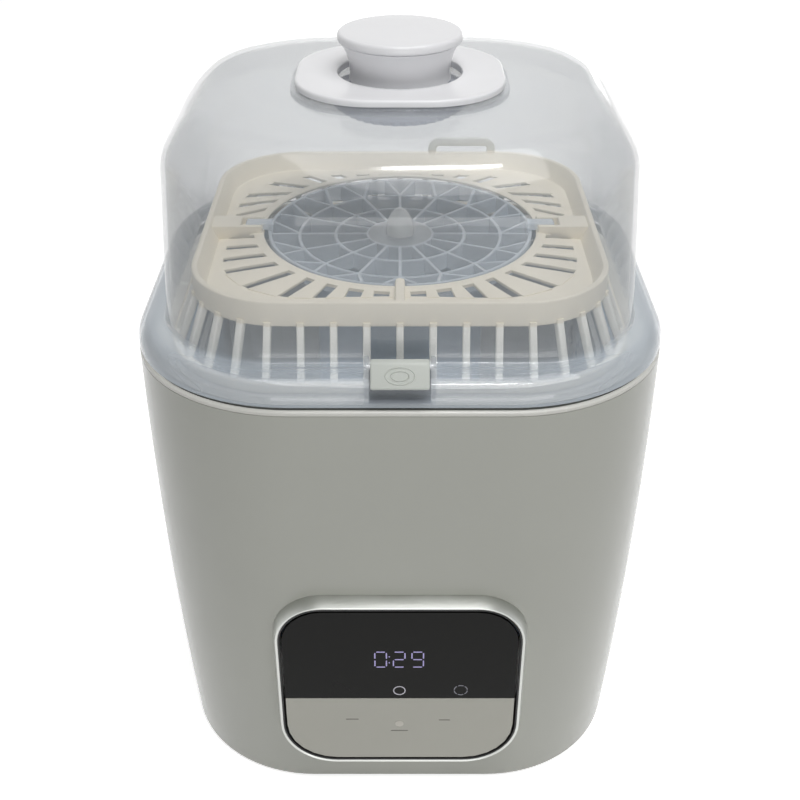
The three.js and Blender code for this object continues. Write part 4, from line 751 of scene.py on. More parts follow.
# %% Rings, bars and a dot
whole = [(start, start + 90) for start in range(0, 360, 90)]
dashed = [(start + 6, start + 54) for start in range(0, 360, 60)]
ring_light = glowing("ring light", srgb(176, 174, 182), 0.25)
dim_light = glowing("dim ring light", srgb(120, 120, 128), 0.2)
make_piece("ring_mark", glass_ring(-0.3, 74, 3.1, 0.5, whole), "base", ring_light)
make_piece("dashed_ring_mark", glass_ring(30.1, 74.3, 3.5, 0.45, dashed), "base", dim_light)

PRINT_WIDTH = 0.5
touch_print = plastic("touch print", srgb(112, 110, 104), 0.5, peel=0)
touch_dot = plastic("touch dot", srgb(196, 193, 184), 0.5, peel=0)
touch_bars = [((-27.3, 53.2), (-20.9, 53.2)), ((19.6, 52.6), (25.3, 52.6)), ((-4.7, 44.8), (4.1, 44.8))]
make_piece("touch_marks", [stroke(*ends, PRINT_WIDTH) for ends in touch_bars], "base",
           touch_print)
make_piece("touch_dot", [spot(-0.3, 49.9, 2.1, 2.05, 6)], "base", touch_dot)

# %% [markdown]
# # A smooth curve through measured points
# The lid has no straight edges to measure, only places along its silhouette. A Catmull-Rom curve passes
# through all of them and bends gently in between. It works on points of any kind, so the same function
# serves the dome, the knob and the cone.

# %% Smooth curves
def smooth(points, steps):
    """A smooth curve through the points, which it meets exactly."""
    points = [Vector(p) for p in points]
    ends = [points[0] * 2 - points[1], *points, points[-1] * 2 - points[-2]]
    curve = []
    for i in range(len(points) - 1):
        a, b, c, d = ends[i:i + 4]
        for step in range(steps):
            t = step / steps
            curve.append(0.5 * (2 * b + (c - a) * t + (2 * a - 5 * b + 4 * c - d) * t**2
                                + (3 * b - a - 3 * c + d) * t**3))
    return [*curve, points[-1]]


print("a curve through three points in steps of two has", len(smooth([(0, 0), (1, 1), (2, 0)], 2)), "points")

# %% [markdown]
# # The dome's surface
# The lid is one moulding: a skirt that flares over the casing's rim, near upright walls and a broad
# shoulder. Each height has its own rounded square, written as half width, half depth, corner and height in
# one vector. The corner radius grows on the way up, from 51 mm at the wall's foot to 74 mm at its top.

# %% Dome sections
SKIRT_Z = 236.2
DOME_FOOT = Vector((108.9, 103.7, 51, 251.9))
WALL_TOP = Vector((108.9, 103.7, 74, 316.5))
SKIRT_CURVE = [
    (0, SKIRT_Z), (0.4, 240), (1.6, 243.2), (3.8, 245.8), (6.8, 247.6), (10.2, 248.7), (13.2, 249.3)]
FILLET_POINT = (14.6, 249.9)
SHOULDER_CURVE = [(0, 0), (1.6, 5.3), (6, 12), (11.3, 18.2), (16.1, 22.3), (20.2, 24)]
CROWN, CROWN_SHARES = 2, (0.93, 0.85, 0.7, 0.5, 0.3, 0.12, 0.02)
SIDE_RINGS = 12


def inset_square(square, inset, z):
    return Vector((square[0] - inset, square[1] - inset, square[2] - inset, z))


def skirt_square(inset, z):
    """A square of the skirt: inset from the casing's rim, blending to the dome foot's corner."""
    share = inset / (TOP_SQUARE[0] - DOME_FOOT.x)
    return Vector((*[mix(rim, foot, share) for rim, foot in zip(TOP_SQUARE, DOME_FOOT)], z))


skirt = smooth([skirt_square(inset, z) for inset, z in SKIRT_CURVE], 3)
fillet = smooth([skirt[-1], skirt_square(*FILLET_POINT), DOME_FOOT], 3)[1:]
walls = [DOME_FOOT.lerp(WALL_TOP, (i + 1) / SIDE_RINGS) for i in range(SIDE_RINGS)]
shoulder = smooth([inset_square(WALL_TOP, inset, WALL_TOP.w + up) for inset, up in SHOULDER_CURVE], 4)[1:]
crown = [Vector((*(shoulder[-1].xyz * share), shoulder[-1].w + CROWN * (1 - share**2)))
         for share in CROWN_SHARES]
dome_outer = skirt + fillet + walls + shoulder + crown
print("dome rings outside:", len(dome_outer))

# %% [markdown]
# # The dome's inner surface
# A wall of even thickness can't be had by making each ring smaller, because the shoulder slopes. Each ring
# is moved at a right angle to the surface instead, which draws it in where the wall is upright and lowers
# it where the wall lies flat.

# %% Inner sections
LID_WALL = 2.2


def neighbours(items, i):
    """The items before and after one of a list, or the item itself at an end."""
    return items[max(i - 1, 0)], items[min(i + 1, len(items) - 1)]


def offset_inward(sections, wall):
    """Draws each section in along the surface's own slope."""
    moved = []
    for i, section in enumerate(sections):
        before, after = neighbours(sections, i)
        run, rise = before.x - after.x, after.w - before.w
        length = math.hypot(run, rise)
        moved.append(inset_square(section, wall * rise / length, section.w - wall * run / length))
    return moved


dome_inner = [s for s in offset_inward(dome_outer, LID_WALL) if min(s.xyz) > 0]
print("dome rings inside:", len(dome_inner))

# %% [markdown]
# # The dome with its latch pocket
# The front latch lies in a pocket of the skirt, between two low cheeks that hold its pin. The pocket's
# block is kept by not hollowing the dome there: first the hollow loses a block, then the dome loses the
# hollow, and last the pocket is cut from the block that is left.

# %% Dome
POCKET_HALF_WIDTH, POCKET_BACK_Y, POCKET_FLOOR_Z = 13.3, -107.8, 238.3
POCKET_WALL, CHEEK = 1.6, 2.2
BLOCK_LOW_Z, BLOCK_TOP_Z = 200, 251
POCKET_CUT_TOP_Z, IN_FRONT_Y = 270, -140
BELOW_SKIRT = 10
cheek_out = POCKET_HALF_WIDTH + CHEEK


def section_ring(section):
    return rounded_square(*section, FINE_CORNER_STEPS)


def block(half_width, back_y, low_z, top_z):
    """A block that reaches from in front of the dome to a depth."""
    corners = ((-1, IN_FRONT_Y), (1, IN_FRONT_Y), (1, back_y), (-1, back_y))
    return [[(side * half_width, y, z) for side, y in corners] for z in (low_z, top_z)], False


hollow_foot = Vector((*dome_inner[0].xyz, SKIRT_Z - BELOW_SKIRT))
hollow_rings = [section_ring(section) for section in (hollow_foot, *dome_inner)]
hollow = add_object("hollow", make_mesh("hollow", [(hollow_rings, False)]))
cut_out(hollow, [block(cheek_out, POCKET_BACK_Y + POCKET_WALL, BLOCK_LOW_Z, BLOCK_TOP_Z)])
dome = make_piece("dome", [([section_ring(s) for s in dome_outer], False)], "lid", frosted,
                  ["lid_dome"])
cut_out_object(dome, hollow)
cut_out(dome, [block(POCKET_HALF_WIDTH, POCKET_BACK_Y, POCKET_FLOOR_Z, POCKET_CUT_TOP_Z)])

# %% [markdown]
# # Three finishes on one moulding
# The photograph shows the skirt paler and less clear than the dome, and the pocket's walls darker, because
# the latch shades them. All of it is one mesh, so each face picks its finish by where it lies.

# %% Finishes by place
SKIRT_FINISH_TOP_Z = 250.2
POCKET_FRONT = 118
NEAR = 0.1
# Pocket faces take the darker finish: painted shade from the latch.
for finish in (skirt_frosted, pocket_painted_shade):
    dome.data.materials.append(finish)
counts = [0, 0, 0]
for face in dome.data.polygons:
    x, z = abs(face.center.x) / MM, face.center.z / MM
    outward = CASING_MIDDLE_Y - face.center.y / MM
    in_pocket = (x < POCKET_HALF_WIDTH + NEAR and z > POCKET_FLOOR_Z - NEAR
                 and -POCKET_BACK_Y - NEAR < outward < POCKET_FRONT)
    face.material_index = (2 if in_pocket else 1) if z < SKIRT_FINISH_TOP_Z else 0
    counts[face.material_index] += 1
print("faces of the dome, the skirt and the pocket:", counts)

# %% [markdown]
# # Cheeks, seat rib and pad
# Three small forms finish the dome's moulding: the rounded cheeks beside the latch, a rib under the skirt
# that seats the lid on the light ring, and the low pad under the knob's plate.

# %% Details of the dome
PAD_SQUARE = (50.6, 48.2, 38)
CHEEK_LAP = 0.05
cheek_outline = rounded([
    (113.9, POCKET_FLOOR_Z - 1, 0), (113.9, 253.8, 2.2), (105.6, 253.8, 0.6), (105.6, POCKET_FLOOR_Z - 1, 0)])
cheeks = []
for side in (-1, 1):
    across = (side * POCKET_HALF_WIDTH, side * (cheek_out + CHEEK_LAP))
    cheeks.append(([[(x, -out, z) for out, z in cheek_outline] for x in across], False))
rib_profile = rounded([(5.5, 234.4, 0.4), (5.5, 245.6, 0), (7.7, 246.2, 0), (7.7, 234.4, 0.4)])
pad_profile = rounded([(0, 340.2, 0), (0, 343.3, 0.8), (20, 343.3, 0), (20, 342, 0), (2.5, 340.2, 0)])
rib, pad = (wrap(TOP_SQUARE, rib_profile), True), (wrap(PAD_SQUARE, pad_profile), True)
make_piece("dome_details", [*cheeks, rib, pad], "lid", frosted)

# %% [markdown]
# # The knob
# The knob is two white mouldings in the round opening of a white plate: a neck that flares upward, and a
# thin cap with a shadow line between them. The plate joins a rounded square outside to a circle inside. The
# neck and the cap are turned shapes.

# %% Knob
PLATE_SQUARE = (48.4, 46, 36)
PLATE_Z, PLATE_TOP_Z = 343.6, 346.8
OPENING_IN_PLATE = 29.1
KNOB_STEPS = 96
plate_edge = rounded([(0.4, PLATE_Z, 0), (0, PLATE_Z + 0.3, 0.1), (0, PLATE_TOP_Z, 2.8), (6, PLATE_TOP_Z, 0)],
                     closed=False, steps=5)
inner_edge = rounded([(3, PLATE_TOP_Z, 0), (0, PLATE_TOP_Z, 0.7), (0, PLATE_Z, 0)], closed=False)
plate_rings = wrap(PLATE_SQUARE, plate_edge)
for a, z in inner_edge:
    radius = OPENING_IN_PLATE + a
    plate_rings.append(rounded_square(radius, radius, radius - 0.05, z))
make_piece("plate", [(plate_rings, True)], "lid", knob_white, ["knob_plate"])

neck_curve = smooth([
    (23.8, 343.6), (23.3, 346.6), (23.5, 350), (24.4, 353.8), (25.7, 357.3), (27.3, 360.2)], 3)
neck_profile = [(0, 343.6), *[tuple(p) for p in neck_curve], (27.5, 360.6), (27.2, 360.8), (0, 360.8)]
make_piece("neck", [(spin(neck_profile, KNOB_STEPS), False)], "lid", knob_white, ["knob_neck"])

cap_profile = rounded([(0, 361.1, 0), (28.9, 361.1, 1.1), (28.9, 365.3, 2.6), (14, 365.75, 0), (0, 365.9, 0)],
                      closed=False, steps=6)
make_piece("cap", [(spin(cap_profile, KNOB_STEPS), False)], "lid", knob_white, ["knob_cap"])

# %% [markdown]
# # The boss under the knob
# A bluish boss under the dome takes the knob's screw. Its lower part is fluted so that fingers can hold it
# while the screw is turned. It is spun first, and then the lower points are pulled in, four to a flute.

# %% Boss
BOSS_TEETH = 36
TEETH_TOP_Z, TEETH_DEPTH, SMOOTH_RADIUS = 332, 0.035, 20
boss_step = rounded([
    (0, 329, 0), (28, 329, 1), (28.6, 331.6, 0), (31.6, 332, 0.8), (31.6, 339.2, 0.4), (0, 339.2, 0)],
    closed=False)
boss_rings = spin(boss_step, BOSS_TEETH * 4)
for ring in boss_rings:
    for i, (x, y, z) in enumerate(ring):
        if z < TEETH_TOP_Z and math.hypot(x, y) > SMOOTH_RADIUS:
            pull = 1 - TEETH_DEPTH * (0.5 + 0.5 * math.cos(math.pi * i / 2))
            ring[i] = (x * pull, y * pull, z)
make_piece("boss", [(boss_rings, False)], "lid", boss_clear, ["knob_boss"])

# %% [markdown]
# # The front latch
# The latch is a small tab that rolls over its pin and slopes outward and down, with a flat lower lip. Its
# side view is drawn once and carried across, and it is drawn in a little at both ends so that its edges
# come out rounded.

# %% Latch
LATCH_HALF_WIDTH, END_ROUND = 12.7, 0.8
LATCH_MIDDLE = Vector((114, 249.6))
FACE_TOP, FACE_LOW = (114.2, 255), (119.9, 245.6)
latch_outline = rounded([
    (108.6, 252, 1.6), (111, 255.6, 2), (*FACE_TOP, 2.2), (*FACE_LOW, 1.2), (119.3, 244.7, 0.5),
    (116.9, 244.7, 0.5), (113.4, 248.2, 1), (109.4, 248.6, 1)], steps=4)


def latch_ring(x, shrink):
    """The latch's side view at x, drawn in towards its middle."""
    points = []
    for out, z in latch_outline:
        point = Vector((out, z))
        point += (LATCH_MIDDLE - point).normalized() * shrink
        points.append((x, -point.x, point.y))
    return points


ends = [(0, END_ROUND), (0.25, 0.3), (END_ROUND, 0)]
latch_rings = [latch_ring(-LATCH_HALF_WIDTH + across, shrink) for across, shrink in ends]
latch_rings += [latch_ring(LATCH_HALF_WIDTH - across, shrink) for across, shrink in reversed(ends)]
print("latch rings:", len(latch_rings))

# %% [markdown]
# # The finger mark on the latch
# Two raised ovals, one inside the other, give the finger a hold on the sloped face. Each is a low bead
# whose path is an oval, and whose rounded top comes from five rows of points at different heights.

# %% Ovals on the latch
BEAD_WIDTH = 0.8
BEAD_ROWS = ((-1, -0.6), (-0.7, 0.4), (0, 1), (0.7, 0.4), (1, -0.6))
OVALS = ((3.9, 2.1, 0.4), (6.3, 3.7, 0.35))
OVAL_STEPS = 40
face_start, face_end = [Vector((0, -out, z)) for out, z in (FACE_TOP, FACE_LOW)]
down = (face_end - face_start).normalized()
off_face = Vector((0, down.z, -down.y)).normalized()
mark_middle = face_start.lerp(face_end, 0.5)


def face_oval(half_x, half_down, lift):
    """A low rounded bead along an oval on the latch's face."""
    turns = [2 * math.pi * i / OVAL_STEPS for i in range(OVAL_STEPS)]
    rings = []
    for across, up in BEAD_ROWS:
        ring = []
        for turn in turns:
            x, fall = half_x * math.cos(turn), half_down * math.sin(turn)
            away = Vector((x, fall)).normalized() * across * BEAD_WIDTH / 2
            point = mark_middle + Vector((1, 0, 0)) * (x + away.x) + down * (fall + away.y)
            ring.append(tuple(point + off_face * up * lift))
        rings.append(ring)
    return rings, True


LATCH_SHARP_DEGREES = 60
make_piece("latch_tab", [(latch_rings, False), *[face_oval(*oval) for oval in OVALS]], "latch",
           latch_grey, ["front_latch"], LATCH_SHARP_DEGREES)

# %% [markdown]
# # The tray's rim and foot ring
# The cream tray is the piece that shows most through the dome. Its rim is an upright band with a sloped
# inner side, and a thinner ring at its foot stands on the casing. Both are cross-sections wrapped round
# rounded squares. All shapes of the tray are gathered in one list, which becomes one piece at the end.

# %% Tray rim and foot ring
TRAY_SQUARE = (96, 94, 43.4)
TRAY_TOP_Z, BAND_LOW_Z = 273.5, 261.7
RING_LOW_Z, RING_TOP_Z = 234.3, 238.9
FLARE, FOOT_RING_WIDTH = 11.5, 4
foot_square = [size + FLARE for size in TRAY_SQUARE]
band_profile = rounded([
    (0, BAND_LOW_Z, 0.7), (0, TRAY_TOP_Z, 1), (2.6, TRAY_TOP_Z, 0.9), (6.6, 264.9, 1.6), (8, 264.3, 0),
    (8, BAND_LOW_Z, 0.6)])
foot_profile = rounded([
    (0, RING_LOW_Z, 0.6), (0, RING_TOP_Z, 1),
    (FOOT_RING_WIDTH, RING_TOP_Z, 1), (FOOT_RING_WIDTH, RING_LOW_Z, 0.6)])
tray_shapes = [(wrap(TRAY_SQUARE, band_profile, FINE_CORNER_STEPS), True),
               (wrap(foot_square, foot_profile, FINE_CORNER_STEPS), True)]
print("tray shapes:", len(tray_shapes))

# %% [markdown]
# # The form of the tray's floor
# The floor rises gently from the rim to the round opening. So its height at a place is found from how far
# that place is on the way from the opening to the rim, and for that the reach of a rounded square in any
# direction is needed. Two bands are laid on it: one round the opening, and one inside the rim.

# %% Tray floor
OPENING_RADIUS, OPENING_Z = 67.7, 269
FLOOR_EDGE_Z, FLOOR_THICKNESS, FLOOR_ROUND = 264.5, 1.6, 0.5
FLOOR_INSET = 4
FLOOR_SQUARE = [size - FLOOR_INSET for size in TRAY_SQUARE]
SLOT_INNER, SLOT_SQUARE = 72, (84.8, 75.4, 44)
OVERLAP = 0.8
FLOOR_STEPS = 160


def reach(square, angle):
    """How far a rounded square's outline is from its middle, in a direction."""
    half_width, half_depth, corner = square
    c, s = abs(math.cos(angle)), abs(math.sin(angle))
    corner_x, corner_y = half_width - corner, half_depth - corner
    if c * half_depth >= s * half_width and half_width / c * s <= corner_y:
        return half_width / c
    if half_depth / max(s, 1e-9) * c <= corner_x:
        return half_depth / s
    b = corner_x * c + corner_y * s
    return b + math.sqrt(max(b * b - corner_x**2 - corner_y**2 + corner**2, 0))


def floor_z(x, y):
    distance, edge = math.hypot(x, y), reach(FLOOR_SQUARE, math.atan2(y, x))
    share = (distance - OPENING_RADIUS) / (edge - OPENING_RADIUS)
    return mix(OPENING_Z, FLOOR_EDGE_Z, min(max(share, 0), 1))


def floor_band(inner_reach, outer_reach):
    """A closed band of the floor between two outlines, each given as a distance for an angle."""
    low = -FLOOR_THICKNESS
    profile = rounded([(0, low, 0.3), (0, 0, FLOOR_ROUND), (1, 0, 0.02), (1, low, 0.02)], steps=2)
    rings = []
    for share, rise in profile:
        ring = []
        for angle in [2 * math.pi * i / FLOOR_STEPS for i in range(FLOOR_STEPS)]:
            distance = mix(inner_reach(angle), outer_reach(angle), share)
            x, y = distance * math.cos(angle), distance * math.sin(angle)
            ring.append((x, y, floor_z(x, y) + rise))
        rings.append(ring)
    return rings, True


inner_band = floor_band(lambda a: OPENING_RADIUS, lambda a: SLOT_INNER + OVERLAP / 2)
outer_band = floor_band(lambda a: reach(SLOT_SQUARE, a) - OVERLAP / 2, lambda a: reach(FLOOR_SQUARE, a))
tray_shapes += [inner_band, outer_band]
print("the floor falls by", OPENING_Z - FLOOR_EDGE_Z, "mm")

# %% [markdown]
# # The slots in the floor
# The floor is cut by 36 slots, nine in each quarter. Those near the crossbars are narrow and lean towards
# them, and those near the peg are wider and straight. Each slot is written as the angles of its two sides,
# at its inner and its outer end, and the other quarters are mirror images of the first.

# %% Slot angles
FIRST_SLOT, SLOT_STEP = 9.2, 9.3
SLOT_SKEWS = (4.1, 5.3, 6.2, 7.2, 4.3, 1.2, 0.6, 0, 0)
SLOT_WIDTHS = (3.8, 4, 4.4, 4.8, 4.8, 4.8, 5.6, 7, 7)
slots = []
for i, (skew, width) in enumerate(zip(SLOT_SKEWS, SLOT_WIDTHS)):
    inner = FIRST_SLOT + i * SLOT_STEP
    outer = inner - skew
    far = reach(SLOT_SQUARE, math.radians(outer))
    near_half, far_half = math.degrees(width / 2 / SLOT_INNER), math.degrees(width / 2 / far)
    low_side, high_side = (inner - near_half, outer - far_half), (inner + near_half, outer + far_half)
    slots += [(low_side, high_side), (tuple(-a for a in high_side), tuple(-a for a in low_side))]
    slots += [tuple(tuple(180 - a for a in side) for side in pair[::-1]) for pair in slots[-2:]]
slots.sort(key=lambda pair: pair[0][0] % 360)
print("slots:", len(slots))

# %% [markdown]
# # The bars between the slots
# Cutting slots by boolean would leave knife edges. It is easier to build what is left between them: a
# rounded bar from each slot to the next, which laps a little into the bands at both ends.

# %% Floor bars
def slot_side(angles):
    """The line along one side of a slot, from its inner to its outer angle, a little longer at both ends."""
    near, far = [math.radians(a) for a in angles]
    start = Vector((math.cos(near), math.sin(near))) * SLOT_INNER
    end = Vector((math.cos(far), math.sin(far))) * reach(SLOT_SQUARE, far)
    along = (end - start).normalized() * OVERLAP
    return start - along, end + along


def floor_bar(first, second):
    """A rounded bar of the floor between two neighbouring slots."""
    stations = []
    sides = [slot_side(first[1]), slot_side(second[0])]
    for share in (0, 0.5, 1):
        right, left = [side[0].lerp(side[1], share) for side in sides]
        centre, half = (left + right) / 2, (left - right) / 2
        middle_z = floor_z(centre.x, centre.y) - FLOOR_THICKNESS / 2
        stations.append((Vector((centre.x, centre.y, middle_z)), Vector((half.x, half.y, 0)),
                         Vector((0, 0, FLOOR_THICKNESS / 2))))
    return bar(stations, FLOOR_ROUND), False


tray_shapes += [floor_bar(slot, slots[(i + 1) % len(slots)]) for i, slot in enumerate(slots)]
print("tray shapes:", len(tray_shapes))

# %% [markdown]
# # Crossbars and peg
# A low crossbar on each side of the opening carries the clear rack's ears, in a seat between two walls, and
# a round-topped peg points from the front rim to the opening. All are straight bars whose ends are drawn in
# a little.

# %% Straight bars of the tray
CROSSBAR_Y, CROSSBAR_HALF_WIDTH, CROSSBAR_LOW_Z, CROSSBAR_TOP_Z = -1.5, 7.1, 264.2, 272
CROSSBAR_END, SEAT_START, SEAT_END = 93, 67.9, 78.7
SEAT_HALF_WIDTH, SEAT_TOP_Z = 4.4, 268
BAR_ROUND, SEAT_ROUND = 0.8, 0.4
PEG_START, PEG_END = (0, -92, 268.9), (0, -63.7, 268.9)
PEG_HALF_WIDTH, PEG_HALF_RISE, PEG_ROUND = 2.3, 2.2, 1.9
END_DRAWN_IN, ROUND_SHARE = 0.6, 0.98


def straight_bar(start, end, half_side, half_rise, radius):
    """A rounded bar between two points, with its width level."""
    start, end = Vector(start), Vector(end)
    along = (end - start).normalized()
    side = along.cross(Vector((0, 0, 1))).normalized()
    rise = side.cross(along).normalized()
    inward = min(radius, half_side, half_rise) * END_DRAWN_IN
    places = ((start, inward), (start + along * inward, 0), (end - along * inward, 0), (end, inward))
    stations = [(point, side * (half_side - less), rise * (half_rise - less)) for point, less in places]
    return bar(stations, radius * ROUND_SHARE), False


def side_bar(side, from_x, to_x, y, low_z, top_z, half_width, radius):
    """A level bar along X on one side, -1 or 1, between two heights."""
    start, end = [(side * x, y, (low_z + top_z) / 2) for x in (from_x, to_x)]
    return straight_bar(start, end, half_width, (top_z - low_z) / 2, radius)


for side in (-1, 1):
    tray_shapes.append(side_bar(side, SEAT_END, CROSSBAR_END, CROSSBAR_Y, CROSSBAR_LOW_Z, CROSSBAR_TOP_Z,
                                CROSSBAR_HALF_WIDTH, BAR_ROUND))
    for edge in (-1, 1):
        wall_half = (CROSSBAR_HALF_WIDTH - SEAT_HALF_WIDTH) / 2
        wall_y = CROSSBAR_Y + edge * (SEAT_HALF_WIDTH + wall_half)
        tray_shapes.append(side_bar(side, SEAT_START, SEAT_END + 1, wall_y, CROSSBAR_LOW_Z, CROSSBAR_TOP_Z,
                                    wall_half, BAR_ROUND))
    tray_shapes.append(side_bar(side, SEAT_START, SEAT_END + 1, CROSSBAR_Y, CROSSBAR_LOW_Z, SEAT_TOP_Z,
                                SEAT_HALF_WIDTH + OVERLAP / 2, SEAT_ROUND))
tray_shapes.append(straight_bar(PEG_START, PEG_END, PEG_HALF_WIDTH, PEG_HALF_RISE, PEG_ROUND))
print("tray shapes:", len(tray_shapes))

# %% [markdown]
# # The grip loop
# A flat loop behind the rear rim lifts the tray out. Half of its path is drawn, up one leg and round a
# corner, and the other half is its mirror image. A bar then follows the whole path.

# %% Loop
LOOP_X, LOOP_Y, LOOP_HALF, LOOP_TOP_Z, LOOP_ROUND = 34.5, 92.5, 16.4, 279.5, 4
LOOP_LEG = (270, 275)
LOOP_HALF_DEPTH, LOOP_HALF_RISE, LOOP_EDGE_ROUND = 1.5, 2.3, 0.9
LOOP_STEP_DEGREES = 15
loop_path = [(LOOP_HALF, z) for z in LOOP_LEG]
for degrees in range(0, 91, LOOP_STEP_DEGREES):
    angle = math.radians(degrees)
    loop_path.append((LOOP_HALF - LOOP_ROUND + LOOP_ROUND * math.cos(angle),
                      LOOP_TOP_Z - LOOP_ROUND + LOOP_ROUND * math.sin(angle)))
loop_path += [(-across, z) for across, z in reversed(loop_path)]
loop_stations = []
for i, (across, z) in enumerate(loop_path):
    before, after = neighbours(loop_path, i)
    along = Vector((after[0] - before[0], 0, after[1] - before[1])).normalized()
    loop_stations.append((Vector((LOOP_X + across, LOOP_Y, z)), Vector((0, LOOP_HALF_DEPTH, 0)),
                          along.cross(Vector((0, 1, 0))) * LOOP_HALF_RISE))
tray_shapes.append((bar(loop_stations, LOOP_EDGE_ROUND), False))
print("loop stations:", len(loop_stations))

# %% [markdown]
# # Where the ribs stand
# Fifty ribs stand under the rim. They keep one pitch along the flat sides and a closer one round the
# corners. Their places are measured along a quarter of the band, from the middle of its front to the middle
# of its side, and mirrored to the other quarters.

# %% Rib places
RIB_PITCH = 14.5
FRONT_RIBS, CORNER_RIBS, SIDE_RIBS = 5, 4, 4


def band_place(run):
    """Place and way out in degrees, at a run along the band from the middle of its front."""
    half_width, half_depth, corner = TRAY_SQUARE
    flat, bend = half_width - corner, math.pi / 2 * corner
    if run <= flat:
        return run, -half_depth, -90
    if run >= flat + bend:
        return half_width, run - flat - bend - (half_depth - corner), 0
    degrees = (run - flat) / bend * 90 - 90
    angle = math.radians(degrees)
    return flat + corner * math.cos(angle), corner - half_depth + corner * math.sin(angle), degrees


quarter_run = TRAY_SQUARE[0] + TRAY_SQUARE[1] - (2 - math.pi / 2) * TRAY_SQUARE[2]
last_front, first_side = RIB_PITCH * (FRONT_RIBS - 1), quarter_run - RIB_PITCH * (SIDE_RIBS - 0.5)
runs = [i * RIB_PITCH for i in range(1, FRONT_RIBS)]
runs += [mix(last_front, first_side, i / (CORNER_RIBS + 1)) for i in range(1, CORNER_RIBS + 1)]
runs += [first_side + i * RIB_PITCH for i in range(SIDE_RIBS)]
rib_places = [(0, -TRAY_SQUARE[1], -90), (0, TRAY_SQUARE[1], 90)]
for x, y, turn in map(band_place, runs):
    rib_places += [(x, y, turn), (-x, y, 180 - turn), (x, -y, -turn), (-x, -y, 180 + turn)]
print("ribs:", len(rib_places))

# %% [markdown]
# # Splayed ribs
# The ribs run from under the band down and outward to the foot ring. Each is a rounded bar whose side view
# has a short upright head and a long slope. With them the tray is complete. The ribs and the loop get a
# paler cream, chosen by height: painted light, for the light that their faces catch.

# %% Ribs, and the whole tray
RIB_HALF_WIDTH, RIB_ROUND = 1.65, 0.8
ABOVE_RIM = 0.5
RIB_PATH = [(-0.9, 263.6, 1.9), (-0.6, 261.6, 2), (0.4, 259.2, 1.9), (8.6, 238.6, 1.6), (9.4, 236.4, 1.6)]


def rib_bar(x, y, turn):
    """A rib at a place of the band, leaning out in a direction in degrees."""
    angle = math.radians(turn)
    out, side = Vector((math.cos(angle), math.sin(angle), 0)), Vector((-math.sin(angle), math.cos(angle), 0))
    stations = []
    for i, (away, z, half_depth) in enumerate(RIB_PATH):
        before, after = neighbours(RIB_PATH, i)
        along = (out * (after[0] - before[0]) + Vector((0, 0, after[1] - before[1]))).normalized()
        middle = Vector((x, y, z)) + out * away
        stations.append((middle, side * RIB_HALF_WIDTH, side.cross(along) * half_depth))
    return bar(stations, RIB_ROUND, 3), False


tray_shapes += [rib_bar(*rib_place) for rib_place in rib_places]
tray = make_piece("tray", tray_shapes, "tray", cream, ["top_tray"])
tray.data.materials.append(cream_painted_light)
# Faces of the ribs and the loop take the paler cream: painted light.
for face in tray.data.polygons:
    z = face.center.z / MM
    face.material_index = int(RING_TOP_Z < z < BAND_LOW_Z - NEAR or z > TRAY_TOP_Z + ABOVE_RIM)

# %% [markdown]
# # The rings of the clear rack
# The rack is a web of thin upright fins. Four rings carry it, each a strip bent round. The outer ring
# stands a little higher than the others and is open at the front, where the tray's peg reaches in. The
# bright edges come from the rounded tops.

# %% Rack rings
RACK_TOP_Z, FIN_HEIGHT = 264.8, 8
RACK_RINGS = ((17, 0), (33, 0), (51, 0), (65.6, 2.8))
OUTER_RISE = 3.2
RING_THICKNESS, RING_STEPS = 1.8, 96
rack_shapes = []
for radius, gap_degrees in RACK_RINGS:
    top_z = RACK_TOP_Z + (OUTER_RISE if radius == RACK_RINGS[-1][0] else 0)
    inside, low_z = radius - RING_THICKNESS, top_z - FIN_HEIGHT
    strip = rounded([(inside, low_z, 0.4), (radius, low_z, 0.4), (radius, top_z, 0.7), (inside, top_z, 0.7)])
    closed = gap_degrees == 0
    start, end = gap_degrees - 90, 270 - gap_degrees
    shares = [i / RING_STEPS for i in range(RING_STEPS if closed else RING_STEPS + 1)]
    turns = [math.radians(mix(start, end, share)) for share in shares]
    rack_shapes.append(([[(r * math.cos(a), r * math.sin(a), z) for r, z in strip] for a in turns], closed))
print("rack rings:", len(rack_shapes))

# %% [markdown]
# # The rack's cone and disc
# A small cone in the middle is the rack's handle. It stands on a flat disc inside the first ring. Both are
# turned shapes, and each has its own finish: the cone looks almost white, and the disc grey.

# %% Cone and disc
MIDDLE_STEPS = 48
disc = rounded([(0, 262.8, 0), (16.4, 262.8, 0.3), (16.4, 264.8, 0.3), (0, 264.8, 0)], closed=False)
cone_curve = smooth([
    (7, 264.9), (6.9, 267.5), (6.4, 270.5), (5.3, 273.6), (3.6, 276.4), (1.8, 277.8), (0, 278.2)], 3)
cone = [(0, 264.9), *[tuple(point) for point in cone_curve]]
make_piece("rack_cone", [(spin(cone, MIDDLE_STEPS), False)], "rack", cone_clear)
make_piece("rack_disc", [(spin(disc, MIDDLE_STEPS), False)], "rack", disc_clear)

# %% [markdown]
# # Spokes, forks and ears
# Sixteen spokes run from the disc to the third ring, and from there each one forks and climbs to the raised
# outer ring. An ear on each side lies in the tray's crossbar, with an upright root at the ring.

# %% Spokes, and the whole rack
SPOKES, FORK_DEGREES = 16, 7
SPOKE_START, SPOKE_END, FORK_START, FORK_END = 16.2, 50, 50.2, 64.6
FIN_HALF_WIDTH, FIN_ROUND = 0.9, 0.7
EAR_HALF_WIDTH, EAR_TOP_Z = 3.8, 271.9
EAR_START, EAR_END, EAR_LOW_Z, EAR_ROUND = 62.6, 76.6, 268.3, 1.2
ROOT_START, ROOT_END, ROOT_LOW_Z, ROOT_ROUND = 62.8, 64.8, 262.9, 0.8
fin_z = RACK_TOP_Z - FIN_HEIGHT / 2


